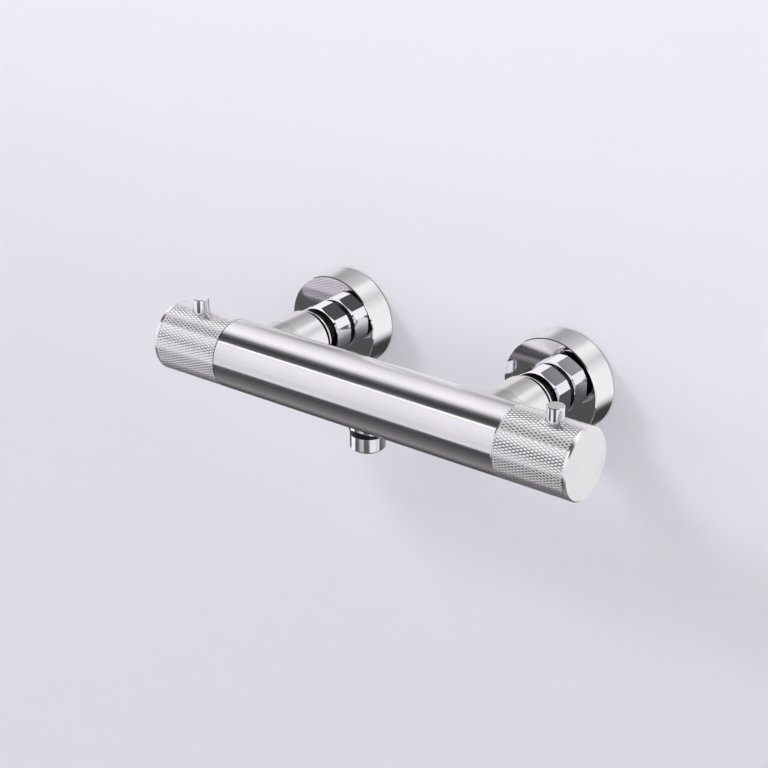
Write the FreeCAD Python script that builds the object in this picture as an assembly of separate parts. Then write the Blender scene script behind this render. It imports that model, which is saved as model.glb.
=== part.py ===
import FreeCAD, Part
import math
import os

# Thermostatic shower valve, bar pattern. Millimetres.
# X runs along the bar, +Y into the wall, +Z up. The origin lies on the wall face, midway between
# the two supply threads. Hot enters on the left (-X), cold on the right (+X), and mixed water
# leaves downwards at the middle of the bar. The left handle sets the temperature, the right one
# opens the flow. Threads are plain cylinders at their fitting radius.

os.makedirs("parts", exist_ok=True)
Vector = FreeCAD.Vector

# --- Driving dimensions -------------------------------------------------------------------------

# Clearances
FIT = 0.05             # radial play of pieces that screw, plug or turn in one another
FACE_GAP = 0.1         # play between end faces
HANDLE_GAP = 0.4       # shadow gap between bar and handle
SLIP = 0.02            # play round a seal
OVERRUN = 1.0          # by which cutters pass the faces that they open

# Bar
INLET_CENTRES = 150.0
BODY_RADIUS = 20.0
BODY_WALL = 4.0
BODY_MARGIN = 2.0      # bar left beyond each inlet stub
EDGE_BEVEL = 0.5
STUB_RADIUS = 17.0
STUB_REACH = 40.0      # bar axis to the stub's end face

# Wall connections, counted outwards from the wall
UNION_OFFSET = 10.0    # the eccentric union's lift from supply axis to bar axis
SUPPLY_THREAD_RADIUS = 10.48
SUPPLY_THREAD_LENGTH = 16.0
SUPPLY_BORE_RADIUS = 7.0
UNION_BORE_RADIUS = 9.0
UNION_BODY_RADIUS = 14.0
UNION_BODY_LENGTH = 10.0
UNION_WALL = 2.5
FLANGE_RADIUS = 29.75
FLANGE_DEPTH = 19.0
FLANGE_WALL = 1.5
FLANGE_SEAL_THICKNESS = 1.0
FLANGE_SEAL_WIDTH = 3.0
NUT_GAP = 2.0
NUT_FLATS = 30.0
NUT_WALL = 1.8         # between the nut's thread and its flats
NUT_LENGTH = 12.5
NUT_WEB = 3.0
NUT_CORNER_CUT = 1.57  # ground off each corner, which leaves a narrow flat
NUT_CORNER_ANGLE = -0.8  # of the upper corner, from straight up
NUT_CHAMFER_ANGLE = 30.0
GROOVE_LENGTH = 10.5   # open neck between union nut and stub
WASHER_THICKNESS = 1.5
SCREEN_THICKNESS = 0.5
SCREEN_HOLE_RADIUS = 0.7
SCREEN_PITCH = 2.2
COLLAR_THICKNESS = 1.5
SPIGOT_NECK_RADIUS = 10.7
SPIGOT_THREAD_LENGTH = 14.0
SPIGOT_BORE_RADIUS = 8.0
SPIGOT_OUTLET_RADIUS = 6.5
LIP_RADIUS = 15.4
LIP_THICKNESS = 1.0
LIP_GAP = 3.0          # between lip and stub

# Check valve inside each spigot
CHECK_LENGTH = 18.0
CHECK_WALL = 1.5
CHECK_SEAT_RADIUS = 4.2
CHECK_SEAT_THICKNESS = 2.0
CHECK_STEM_RADIUS = 1.5
CHECK_STEM_PROUD = 0.5
CHECK_GUIDE_WALL = 1.3
CHECK_SPIDER_THICKNESS = 2.0
CHECK_ARM_WIDTH = 1.4
POPPET_HEAD_THICKNESS = 2.0
POPPET_MARGIN = 0.9    # play between poppet rim and housing
POPPET_SPRING_RADIUS = 3.0
POPPET_SPRING_WIRE = 0.5
POPPET_SPRING_TURNS = 6

# Seals
SEAL_SECTION = 1.8
SEAL_GROOVE_WIDTH = 2.4

# Outlet below the bar
OUTLET_RADIUS = 9.8
OUTLET_BORE_RADIUS = 6.5
OUTLET_DROP = 11.4     # below the bar's underside
OUTLET_CHAMFER = 1.2
OUTLET_THREAD_RADIUS = 10.4
OUTLET_PLUG_RADIUS = 8.9
OUTLET_PLUG_LENGTH = 4.5

# Moulded waterway between the two cartridges
WATERWAY_WALL = 2.6    # between the mixed bore and the riser to the outlet
PORT_BRIDGE = 3.2      # between the mixed bore and the outlet bore
PORT_MARGIN = 2.2      # round the two bores where they meet the ceramic discs
COLD_GROOVE_DEPTH = 4.0
COLD_GROOVE_WIDTH = 12.0
PORT_SEAL_THICKNESS = 1.0

# Both cartridges, counted inwards from the bar's end face
RETAINER_DEPTH = 8.0
RETAINER_PROUD = 2.5
RETAINER_SLOT = 3.0
LAND_LENGTH = 4.0
NECK_RADIUS = 9.2
NECK_REACH = 8.0       # out past the bar's end face
NECK_BORE_RADIUS = 6.5
NECK_END_WALL = 7.0
PLUG_LENGTH = 6.0
SOCKET_WALL = 1.1      # between a plug and the waterway's cold groove
CARTRIDGE_WALL = 2.4   # between waist and chamber
SPINDLE_RADIUS = 4.0
SPINDLE_REACH = 22.0   # out past the bar's end face
SPINDLE_COLLAR_LENGTH = 4.0
SCREW_RADIUS = 2.0

# Thermostat cartridge
THERMO_SHOULDER = 46.0
THERMO_WAIST_GAP = 1.6 # water space between waist and bar
THERMO_END_WALL = 2.0
THERMO_OUTLET_WALL = 3.4
PORT_WIDTH = 6.0
PORT_RIBS = 3
REGULATOR_PITCH = 1.5  # regulating thread, along the bar per turn
REGULATOR_THREAD_RADIUS = 3.0
REGULATOR_THREAD_LENGTH = 10.0
REGULATOR_NUT_LENGTH = 7.0
REGULATOR_SPARE = 0.9  # room left at each end of the regulating nut's travel
SHUTTLE_LENGTH = 10.0
SHUTTLE_SKIRT = 2.0
SHUTTLE_WEB = 3.0
ELEMENT_RADIUS = 5.0
ELEMENT_LENGTH = 16.0
ELEMENT_RIM = 2.0
PISTON_RADIUS = 1.5
PISTON_LENGTH = 4.0
PISTON_HEAD_RADIUS = 5.2
PISTON_HEAD_THICKNESS = 1.5
RETURN_SPRING_WIRE = 1.2
RETURN_SPRING_PLAY = 0.85  # inside the shuttle's skirt
RETURN_SPRING_TURNS = 5
OVERTRAVEL_SPRING_RADIUS = 4.4
OVERTRAVEL_SPRING_WIRE = 1.0
OVERTRAVEL_SPRING_TURNS = 3

# Flow cartridge
FLOW_SHOULDER = 31.0
FLOW_WAIST_GAP = 2.6   # water space between waist and bar
FLOW_END_WALL = 4.0
DISC_SEAL_THICKNESS = 1.0
FIXED_DISC_THICKNESS = 3.0
MOVING_DISC_THICKNESS = 4.0
MOVING_DISC_POCKET = 2.5
DRIVER_THICKNESS = 3.0
DRIVER_TONGUE = 1.5

# Handles, counted outwards from the bar's end face
SLEEVE_LENGTH = 41.85
SLEEVE_WALL = 2.4
CAP_THICKNESS = 2.0
CAP_CHAMFER = 0.7
CAP_SKIRT_LENGTH = 6.0
CAP_SKIRT_WALL = 1.6
HUB_START = 8.2
SCREW_HEAD_RADIUS = 3.8
SCREW_HEAD_HEIGHT = 3.0
SCREW_GRIP = 3.7       # hub web clamped under the screw's head
SCREW_LENGTH = 12.0
SCREW_SOCKET_FLATS = 3.0
SCREW_SOCKET_DEPTH = 1.8
HUB_RECESS_RADIUS = 5.0

# Push button through each handle
BUTTON_FROM_BODY = 25.0
BUTTON_RADIUS = 4.85
BUTTON_HOLE_PLAY = 0.08
BUTTON_PROUD = 7.74
BUTTON_BEVEL = 0.3
BUTTON_TRAVEL = 3.0
BUTTON_COLLAR = 1.0
BUTTON_COLLAR_THICKNESS = 1.5
BUTTON_STEM_RADIUS = 2.2
BUTTON_POCKET_DEPTH = 11.6  # below the sleeve's surface
BUTTON_SPRING_RADIUS = 3.9
BUTTON_SPRING_WIRE = 0.6
BUTTON_SPRING_TURNS = 4

# Stops between cartridge neck and hub
STOP_RING_THICKNESS = 4.0
STOP_RING_WALL = 1.8
STOP_LUG_RADIUS = 14.0
STOP_LUG_WIDTH = 24.0  # degrees
STOP_LUG_ROOT = 1.0    # sunk into the hub
STOP_PLAY = 1.0        # degrees left at each limit
TEMPERATURE_RANGE = (-130.0, 70.0)
FLOW_RANGE = (0.0, 90.0)

# --- Derived places -----------------------------------------------------------------------------

BODY_HALF = INLET_CENTRES / 2 + STUB_RADIUS + BODY_MARGIN
BODY_BORE = BODY_RADIUS - BODY_WALL
UNION_THREAD_RADIUS = NUT_FLATS / 2 - NUT_WALL
NUT_START = FLANGE_DEPTH + NUT_GAP
NUT_END = NUT_START + NUT_LENGTH
STUB_END = NUT_END + GROOVE_LENGTH
BAR_STANDOFF = STUB_END + STUB_REACH
BAR = (-BAR_STANDOFF, UNION_OFFSET)
COLLAR_START = NUT_END - NUT_WEB - FACE_GAP - COLLAR_THICKNESS
UNION_END = COLLAR_START - WASHER_THICKNESS
SPIGOT_END = STUB_END + SPIGOT_THREAD_LENGTH
CARTRIDGE_RADIUS = BODY_BORE - FIT
BAR_BOTTOM = UNION_OFFSET - BODY_RADIUS
RETAINER_FACE = RETAINER_DEPTH + FACE_GAP
PLUG_RADIUS = BODY_BORE - COLD_GROOVE_DEPTH - SOCKET_WALL
THERMO_WAIST_RADIUS = BODY_BORE - THERMO_WAIST_GAP
THERMO_CHAMBER_RADIUS = THERMO_WAIST_RADIUS - CARTRIDGE_WALL
THERMO_OUTLET_RADIUS = PLUG_RADIUS - THERMO_OUTLET_WALL
SPRING_ROOM = THERMO_CHAMBER_RADIUS - FIT - SHUTTLE_SKIRT
RETURN_SPRING_RADIUS = SPRING_ROOM - RETURN_SPRING_PLAY - RETURN_SPRING_WIRE / 2
FLOW_WAIST_RADIUS = BODY_BORE - FLOW_WAIST_GAP
FLOW_CHAMBER_RADIUS = FLOW_WAIST_RADIUS - CARTRIDGE_WALL
WATERWAY_BORE_RADIUS = (FLOW_CHAMBER_RADIUS - PORT_MARGIN - PORT_BRIDGE / 2) / 2
WATERWAY_BORE_OFFSET = PORT_BRIDGE / 2 + WATERWAY_BORE_RADIUS
REGULATOR_PLAY = REGULATOR_PITCH * max(-TEMPERATURE_RANGE[0], TEMPERATURE_RANGE[1]) / 360 + REGULATOR_SPARE

AXES = {"X": Vector(1, 0, 0), "Y": Vector(0, 1, 0), "Z": Vector(0, 0, 1)}


# --- Shapes -------------------------------------------------------------------------------------

def spot(axis, centre, along, radius=0.0):
    """Point at a place along an axis; centre holds the axis's other two coordinates."""
    first, second = centre
    if axis == "X":
        return Vector(along, first, second + radius)
    if axis == "Y":
        return Vector(first, along, second + radius)
    return Vector(first + radius, second, along)


def rod(axis, centre, start, end, radius):
    """Solid cylinder between two places along an axis."""
    low, high = sorted((start, end))
    return Part.makeCylinder(radius, high - low, spot(axis, centre, low), AXES[axis])


def tube(axis, centre, start, end, outer, inner):
    """Hollow cylinder between two places along an axis."""
    return rod(axis, centre, start, end, outer).cut(rod(axis, centre, start, end, inner))


def turned(axis, centre, outline):
    """Solid of revolution of an outline of (place, radius) points."""
    points = [spot(axis, centre, along, radius) for along, radius in outline]
    face = Part.Face(Part.makePolygon(points + points[:1]))
    return face.revolve(spot(axis, centre, 0), AXES[axis], 360)


def sector(axis, centre, start, end, outer, inner, first, last):
    """Part of a hollow cylinder between two angles, turned right-handed from straight up."""
    outline = ((start, inner), (end, inner), (end, outer), (start, outer), (start, inner))
    face = Part.Face(Part.makePolygon([spot(axis, centre, a, r) for a, r in outline]))
    face.rotate(spot(axis, centre, 0), AXES[axis], first)
    return face.revolve(spot(axis, centre, 0), AXES[axis], last - first)


def block(x, y, z):
    """Box between pairs of coordinates."""
    return Part.makeBox(x[1] - x[0], y[1] - y[0], z[1] - z[0], Vector(x[0], y[0], z[0]))


def hexagon(axis, centre, start, end, flats, corner_angle):
    """Hexagonal bar; the first corner stands at an angle from straight up."""
    reach = flats / math.sqrt(3)
    corners = []
    for step in range(7):
        corner = Part.Vertex(spot(axis, centre, start, reach))
        corner.rotate(spot(axis, centre, start), AXES[axis], corner_angle + 60 * step)
        corners.append(corner.Point)
    return Part.Face(Part.makePolygon(corners)).extrude(AXES[axis] * (end - start))


def seal_ring(axis, centre, place, bore):
    """Round-section seal that lies against a bore."""
    half = SEAL_SECTION / 2
    return Part.makeTorus(bore - half, half - SLIP, spot(axis, centre, place), AXES[axis])


def seal_groove(axis, centre, place, bore):
    """Cutter for the groove under a seal ring."""
    half = SEAL_GROOVE_WIDTH / 2
    floor = bore - SEAL_SECTION
    return tube(axis, centre, place - half, place + half, bore + SEAL_SECTION, floor)


def fuse(shapes):
    """One solid made of overlapping or touching solids."""
    return shapes[0].multiFuse(shapes[1:]).removeSplitter()


def cut(shape, cutters):
    """A shape less several cutters."""
    for cutter in cutters:
        shape = shape.cut(cutter)
    return shape


def mirrored(shape):
    """The same piece on the other half of the bar."""
    return shape.mirror(Vector(0, 0, 0), Vector(1, 0, 0))


def arc_through(start, bend, end):
    """Arc from start to end whose end tangents meet at bend."""
    middle = (start + end) / 2
    cosine = (end - start).Length / 2 / (bend - start).Length
    crown = middle + (bend - middle) * (cosine / (1 + cosine))
    return Part.Arc(start, crown, end).toShape()


def biarc(start, start_way, end, end_way):
    """Two arcs that join two points and leave along the given unit tangents."""
    chord = end - start
    ways = start_way + end_way
    spread = 2 * (1 - start_way.dot(end_way))
    lean = chord.dot(ways)
    reach = (math.sqrt(lean * lean + spread * chord.dot(chord)) - lean) / spread
    first = start + start_way * reach
    second = end - end_way * reach
    joint = (first + second) / 2
    return [arc_through(start, first, joint), arc_through(joint, second, end)]


def coil(name, axis, centre, start, end, radius, wire, turns):
    """Compression spring: one unbroken round wire on quarter-turn biarcs, measured against itself."""
    low = min(start, end) + FIT + wire / 2
    pitch = (abs(end - start) - 2 * FIT - wire) / turns
    side = {"X": "Y", "Y": "Z", "Z": "X"}[axis]
    along = AXES[axis]
    across = AXES[side]
    over = along.cross(across)

    def point(turn):
        angle = 2 * math.pi * turn
        middle = spot(axis, centre, low + pitch * turn)
        return middle + across * (radius * math.cos(angle)) + over * (radius * math.sin(angle))

    def way(turn):
        angle = 2 * math.pi * turn
        ring = over * math.cos(angle) - across * math.sin(angle)
        heading = ring * (2 * math.pi * radius) + along * pitch
        return heading / heading.Length

    edges = []
    for quarter in range(4 * turns):
        here = quarter / 4
        edges += biarc(point(here), way(here), point(here + 0.25), way(here + 0.25))
    profile = Part.Wire([Part.makeCircle(wire / 2, point(0), way(0))])
    gaps = [(point(t / 24) - point(u / 24)).Length
            for t in range(24 * turns) for u in range(t + 12, 24 * turns + 1)]
    print(f"{name}: least gap between turns {min(gaps) - wire:.2f} mm")
    return Part.Wire(edges).makePipeShell([profile], True, False)


def save(node, shape):
    """Write one named piece."""
    solids = shape.Solids
    piece = solids[0] if len(solids) == 1 else Part.makeCompound(solids)
    if not piece.isValid():
        print(f"{node}: not valid")
    piece.exportStep(f"parts/{node}.step")
    print(f"{node}: {len(solids)} solid, {piece.Volume:.1f} mm3")


def depth(distance):
    """X of a place inside the right half of the bar, counted inwards from its end face."""
    return BODY_HALF - distance


def reach(distance):
    """X of a place in the right handle, counted outwards from the bar's end face."""
    return BODY_HALF + distance


# --- Body ---------------------------------------------------------------------------------------

def valve_body():
    """Bar with two inlet stubs, bored through from end to end and drilled for the outlet."""
    bar = turned("X", BAR, [
        (-BODY_HALF, 0), (-BODY_HALF, BODY_RADIUS - EDGE_BEVEL), (-BODY_HALF + EDGE_BEVEL, BODY_RADIUS),
        (BODY_HALF - EDGE_BEVEL, BODY_RADIUS), (BODY_HALF, BODY_RADIUS - EDGE_BEVEL), (BODY_HALF, 0)])
    solids = [bar]
    cutters = [rod("X", BAR, -BODY_HALF - OVERRUN, BODY_HALF + OVERRUN, BODY_BORE)]
    for side in (-1, 1):
        axis_at = (side * INLET_CENTRES / 2, UNION_OFFSET)
        solids.append(turned("Y", axis_at, [
            (-BAR_STANDOFF, 0), (-BAR_STANDOFF, STUB_RADIUS), (-STUB_END - EDGE_BEVEL, STUB_RADIUS),
            (-STUB_END, STUB_RADIUS - EDGE_BEVEL), (-STUB_END, 0)]))
        cutters.append(rod("Y", axis_at, -BAR_STANDOFF, -STUB_END + OVERRUN, SPIGOT_NECK_RADIUS + FIT))
    hole = OUTLET_THREAD_RADIUS + FIT
    cutters.append(rod("Z", (0, -BAR_STANDOFF), BAR_BOTTOM - OVERRUN, UNION_OFFSET, hole))
    body = cut(fuse(solids), cutters)
    rims = [edge for edge in body.Edges
            if edge.BoundBox.ZMax < UNION_OFFSET - BODY_BORE and abs(edge.BoundBox.XMax - hole) < FIT]
    return body.makeChamfer(EDGE_BEVEL, rims)


def waterway_insert():
    """Moulding between the cartridges: mixed bore above, outlet bore below, cold groove behind."""
    left = -(BODY_HALF - THERMO_SHOULDER) + FACE_GAP
    right = BODY_HALF - FLOW_SHOULDER - FACE_GAP
    socket = PLUG_LENGTH + PORT_SEAL_THICKNESS
    y, z = BAR
    bore = WATERWAY_BORE_RADIUS
    upper = (y, z + WATERWAY_BORE_OFFSET)
    lower = (y, z - WATERWAY_BORE_OFFSET)
    plug_top = z - BODY_BORE + OUTLET_PLUG_LENGTH
    riser_top = z + PORT_BRIDGE / 2 - WATERWAY_WALL
    return cut(rod("X", BAR, left, right, CARTRIDGE_RADIUS), [
        rod("X", BAR, left - OVERRUN, left + socket, PLUG_RADIUS + FIT),
        rod("X", BAR, right - socket, right + OVERRUN, PLUG_RADIUS + FIT),
        rod("X", upper, left, right, bore),
        rod("X", lower, 0, right, bore),
        block((left - OVERRUN, right + OVERRUN),
              (y + BODY_BORE - COLD_GROOVE_DEPTH, y + BODY_BORE + OVERRUN),
              (z - COLD_GROOVE_WIDTH / 2, z + COLD_GROOVE_WIDTH / 2)),
        rod("Z", (0, y), z - BODY_BORE - OVERRUN, riser_top, OUTLET_BORE_RADIUS),
        rod("Z", (0, y), z - BODY_BORE - OVERRUN, plug_top, OUTLET_PLUG_RADIUS + FIT)])


def outlet_nipple():
    """Threaded outlet tube, screwed up into the bar and plugged into the waterway."""
    bottom = BAR_BOTTOM - OUTLET_DROP
    neck = UNION_OFFSET - BODY_BORE
    top = neck + OUTLET_PLUG_LENGTH - FACE_GAP
    nipple = turned("Z", (0, -BAR_STANDOFF), [
        (bottom, OUTLET_BORE_RADIUS), (bottom, OUTLET_RADIUS - OUTLET_CHAMFER),
        (bottom + OUTLET_CHAMFER, OUTLET_RADIUS), (BAR_BOTTOM + FACE_GAP, OUTLET_RADIUS),
        (BAR_BOTTOM + FACE_GAP, OUTLET_THREAD_RADIUS), (neck, OUTLET_THREAD_RADIUS),
        (neck, OUTLET_PLUG_RADIUS), (top, OUTLET_PLUG_RADIUS), (top, OUTLET_BORE_RADIUS)])
    return nipple.cut(seal_groove("Z", (0, -BAR_STANDOFF), outlet_seal_place(), OUTLET_PLUG_RADIUS + FIT))


def outlet_seal_place():
    """Height of the outlet's seal, midway up its plug."""
    return UNION_OFFSET - BODY_BORE + OUTLET_PLUG_LENGTH / 2


# --- Wall connections ---------------------------------------------------------------------------

def elongated(x, start, end, radius):
    """Bar along Y of the supply axis's circle swept up to the bar axis's circle."""
    web = block((x - radius, x + radius), (-end, -start), (0, UNION_OFFSET))
    return fuse([rod("Y", (x, 0), -start, -end, radius), web,
                 rod("Y", (x, UNION_OFFSET), -start, -end, radius)])


def wall_union(x):
    """Eccentric union: supply thread in the wall, thick eye, larger thread towards the bar."""
    raised = (x, UNION_OFFSET)
    start = UNION_WALL
    end = start + UNION_BODY_LENGTH
    solid = fuse([
        rod("Y", (x, 0), SUPPLY_THREAD_LENGTH, -start, SUPPLY_THREAD_RADIUS),
        elongated(x, start, end, UNION_BODY_RADIUS),
        rod("Y", raised, -end, -UNION_END, UNION_THREAD_RADIUS)])
    return cut(solid, [
        rod("Y", (x, 0), SUPPLY_THREAD_LENGTH + OVERRUN, -start - UNION_WALL, SUPPLY_BORE_RADIUS),
        elongated(x, start + UNION_WALL, end - UNION_WALL, SUPPLY_BORE_RADIUS),
        rod("Y", raised, -start - UNION_WALL, -UNION_END - OVERRUN, UNION_BORE_RADIUS)])


def wall_flange(x):
    """Polished cup that covers the union and the hole in the wall."""
    inner = FLANGE_RADIUS - FLANGE_WALL
    bore = UNION_THREAD_RADIUS + FIT
    front = -FLANGE_DEPTH
    return turned("Y", (x, UNION_OFFSET), [
        (-FLANGE_SEAL_THICKNESS, inner), (-FLANGE_SEAL_THICKNESS, FLANGE_RADIUS),
        (front + EDGE_BEVEL, FLANGE_RADIUS), (front, FLANGE_RADIUS - EDGE_BEVEL), (front, bore),
        (front + FLANGE_WALL, bore), (front + FLANGE_WALL, inner)])


def flange_seal(x):
    """Flat ring between flange and wall."""
    outer = FLANGE_RADIUS - EDGE_BEVEL
    return tube("Y", (x, UNION_OFFSET), -FLANGE_SEAL_THICKNESS, 0, outer, outer - FLANGE_SEAL_WIDTH)


def union_nut(x):
    """Hexagonal nut, corners cut flat and ends chamfered; its web pulls the spigot's collar in."""
    axis_at = (x, UNION_OFFSET)
    corner_face = NUT_FLATS / math.sqrt(3) - NUT_CORNER_CUT
    corner = math.hypot(corner_face, NUT_CORNER_CUT * math.tan(math.radians(60)))
    face = NUT_FLATS / 2 - EDGE_BEVEL / 2
    slope = (corner - face) * math.tan(math.radians(NUT_CHAMFER_ANGLE))
    envelope = turned("Y", axis_at, [
        (-NUT_START, 0), (-NUT_START, face), (-NUT_START - slope, corner), (-NUT_END + slope, corner),
        (-NUT_END, face), (-NUT_END, 0)])
    prism = hexagon("Y", axis_at, -NUT_END, -NUT_START, NUT_FLATS, NUT_CORNER_ANGLE)
    corners = hexagon("Y", axis_at, -NUT_END, -NUT_START, 2 * corner_face, NUT_CORNER_ANGLE + 30)
    return cut(prism.common(corners).common(envelope), [
        rod("Y", axis_at, -NUT_START + OVERRUN, -NUT_END + NUT_WEB, UNION_THREAD_RADIUS + FIT),
        rod("Y", axis_at, -NUT_START, -NUT_END - OVERRUN, SPIGOT_NECK_RADIUS + FIT)])


def filter_washer(x):
    """Rubber washer squeezed between union and spigot collar, with a rebate for the screen."""
    axis_at = (x, UNION_OFFSET)
    washer = tube("Y", axis_at, -UNION_END, -COLLAR_START, UNION_THREAD_RADIUS - 2 * FIT,
                  SPIGOT_BORE_RADIUS)
    rebate = rod("Y", axis_at, -UNION_END, -UNION_END - SCREEN_THICKNESS, UNION_BORE_RADIUS + FIT)
    return washer.cut(rebate)


def filter_screen(x):
    """Perforated disc held by the washer."""
    axis_at = (x, UNION_OFFSET)
    back = -UNION_END
    front = back - SCREEN_THICKNESS
    screen = rod("Y", axis_at, back, front, UNION_BORE_RADIUS)
    rings = int((SPIGOT_BORE_RADIUS - SCREEN_HOLE_RADIUS) / SCREEN_PITCH)
    holes = [rod("Y", axis_at, back + OVERRUN, front - OVERRUN, SCREEN_HOLE_RADIUS)]
    for ring in range(1, rings + 1):
        for step in range(6 * ring):
            angle = 2 * math.pi * step / (6 * ring)
            hole_at = (x + ring * SCREEN_PITCH * math.cos(angle),
                       UNION_OFFSET + ring * SCREEN_PITCH * math.sin(angle))
            holes.append(rod("Y", hole_at, back + OVERRUN, front - OVERRUN, SCREEN_HOLE_RADIUS))
    return cut(screen, holes)


def lip_start():
    """Distance from the wall to the lip on the open neck."""
    return STUB_END - LIP_GAP - LIP_THICKNESS


def spigot_seal_place():
    """Distance from the wall to the spigot's seal, just inside the stub."""
    return STUB_END + SEAL_GROOVE_WIDTH


def check_start():
    """Distance from the wall to the check valve's wall-side end."""
    return SPIGOT_END - COLLAR_THICKNESS - COLLAR_THICKNESS - CHECK_LENGTH


def inlet_spigot(x):
    """Tube screwed into the stub; collar for the union nut, lip on the open neck, check valve bore."""
    axis_at = (x, UNION_OFFSET)
    collar = UNION_THREAD_RADIUS - 2 * FIT
    spigot = fuse([
        rod("Y", axis_at, -COLLAR_START, -COLLAR_START - COLLAR_THICKNESS, collar),
        rod("Y", axis_at, -COLLAR_START, -SPIGOT_END, SPIGOT_NECK_RADIUS),
        rod("Y", axis_at, -lip_start(), -lip_start() - LIP_THICKNESS, LIP_RADIUS)])
    return cut(spigot, [
        rod("Y", axis_at, -COLLAR_START + OVERRUN, -check_start() - CHECK_LENGTH, SPIGOT_BORE_RADIUS),
        rod("Y", axis_at, -COLLAR_START, -SPIGOT_END - OVERRUN, SPIGOT_OUTLET_RADIUS),
        seal_groove("Y", axis_at, -spigot_seal_place(), SPIGOT_NECK_RADIUS + FIT)])


def check_inner_radius():
    """Radius of the check valve's chamber."""
    return SPIGOT_BORE_RADIUS - FIT - CHECK_WALL


def check_housing(x):
    """Check valve cage: seat towards the wall, four-armed spider with the stem's guide."""
    axis_at = (x, UNION_OFFSET)
    start = check_start()
    end = start + CHECK_LENGTH
    inner = check_inner_radius()
    guide = CHECK_STEM_RADIUS + CHECK_GUIDE_WALL
    spider = [rod("Y", axis_at, -end, -end + CHECK_SPIDER_THICKNESS, guide)]
    half = CHECK_ARM_WIDTH / 2
    ys = (-end, -end + CHECK_SPIDER_THICKNESS)
    spider.append(block((x - inner - FIT, x + inner + FIT), ys, (UNION_OFFSET - half, UNION_OFFSET + half)))
    spider.append(block((x - half, x + half), ys, (UNION_OFFSET - inner - FIT, UNION_OFFSET + inner + FIT)))
    cage = fuse([
        tube("Y", axis_at, -start, -end, SPIGOT_BORE_RADIUS - FIT, inner),
        tube("Y", axis_at, -start, -start - CHECK_SEAT_THICKNESS, SPIGOT_BORE_RADIUS - FIT,
             CHECK_SEAT_RADIUS)] + spider)
    return cage.cut(rod("Y", axis_at, -end - OVERRUN, -end + CHECK_SPIDER_THICKNESS + OVERRUN,
                        CHECK_STEM_RADIUS + FIT))


def check_poppet(x):
    """Poppet that closes on the cage's seat, with its guided stem."""
    axis_at = (x, UNION_OFFSET)
    seat = check_start() + CHECK_SEAT_THICKNESS + FACE_GAP
    stem_end = check_start() + CHECK_LENGTH + CHECK_STEM_PROUD
    return fuse([
        rod("Y", axis_at, -seat, -seat - POPPET_HEAD_THICKNESS, check_inner_radius() - POPPET_MARGIN),
        rod("Y", axis_at, -seat, -stem_end, CHECK_STEM_RADIUS)])


def check_spring(name, x):
    """Light coil between poppet and spider."""
    start = check_start() + CHECK_SEAT_THICKNESS + FACE_GAP + POPPET_HEAD_THICKNESS
    end = check_start() + CHECK_LENGTH - CHECK_SPIDER_THICKNESS
    return coil(name, "Y", (x, UNION_OFFSET), -end, -start, POPPET_SPRING_RADIUS, POPPET_SPRING_WIRE,
                POPPET_SPRING_TURNS)


# --- Cartridges, drawn in the right half of the bar ---------------------------------------------

def retaining_nut():
    """Ring nut that holds a cartridge in the bar's end, slotted for a pin spanner."""
    nut = tube("X", BAR, depth(RETAINER_DEPTH), reach(RETAINER_PROUD), CARTRIDGE_RADIUS, NECK_RADIUS + FIT)
    half = RETAINER_SLOT / 2
    xs = (reach(0), reach(RETAINER_PROUD) + OVERRUN)
    y, z = BAR
    wide = BODY_RADIUS
    return cut(nut, [block(xs, (y - wide, y + wide), (z - half, z + half)),
                     block(xs, (y - half, y + half), (z - wide, z + wide))])


def cartridge_shell(shoulder, waist, chamber, end_wall):
    """Housing common to both cartridges: land, waist and plug, neck out of the bar, chamber inside."""
    front = RETAINER_FACE
    shell = fuse([
        rod("X", BAR, depth(front), depth(front + LAND_LENGTH), CARTRIDGE_RADIUS),
        rod("X", BAR, depth(front), depth(shoulder), waist),
        rod("X", BAR, depth(shoulder), depth(shoulder + PLUG_LENGTH), PLUG_RADIUS),
        rod("X", BAR, depth(front), reach(NECK_REACH), NECK_RADIUS)])
    return cut(shell, [
        rod("X", BAR, depth(front + LAND_LENGTH), depth(shoulder - end_wall), chamber),
        rod("X", BAR, depth(front + LAND_LENGTH), reach(NECK_REACH - NECK_END_WALL), NECK_BORE_RADIUS),
        rod("X", BAR, depth(0), reach(NECK_REACH) + OVERRUN, SPINDLE_RADIUS + FIT),
        seal_groove("X", BAR, depth(front + LAND_LENGTH / 2), BODY_BORE),
        seal_groove("X", BAR, depth(shoulder + PLUG_LENGTH / 2), PLUG_RADIUS + FIT)])


def shell_seals(shoulder):
    """Seal rings on a cartridge's front land and plug."""
    return [seal_ring("X", BAR, depth(RETAINER_FACE + LAND_LENGTH / 2), BODY_BORE),
            seal_ring("X", BAR, depth(shoulder + PLUG_LENGTH / 2), PLUG_RADIUS + FIT)]


def hot_port():
    """Depth of the hot windows, in line with the inlet stub."""
    return BODY_HALF - INLET_CENTRES / 2


def shuttle_start():
    """Depth at which the resting shuttle starts, just behind the hot windows."""
    return hot_port() + PORT_WIDTH / 2 + REGULATOR_PLAY


def cold_port():
    """Depth of the cold windows, just past the resting shuttle."""
    return shuttle_start() + SHUTTLE_LENGTH + REGULATOR_PLAY + PORT_WIDTH / 2


def middle_land():
    """Depth of the land that parts hot from cold."""
    return shuttle_start() + SHUTTLE_LENGTH / 2


def windows(place):
    """Cutters for radial windows spread round the housing."""
    y, z = BAR
    slots = []
    for step in range(PORT_RIBS):
        slot = block((depth(place) - PORT_WIDTH / 2, depth(place) + PORT_WIDTH / 2),
                     (y - BODY_RADIUS, y + BODY_RADIUS), (z - PORT_WIDTH / 2, z + PORT_WIDTH / 2))
        slot.rotate(Vector(0, y, z), AXES["X"], 180 * step / PORT_RIBS)
        slots.append(slot)
    return slots


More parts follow.
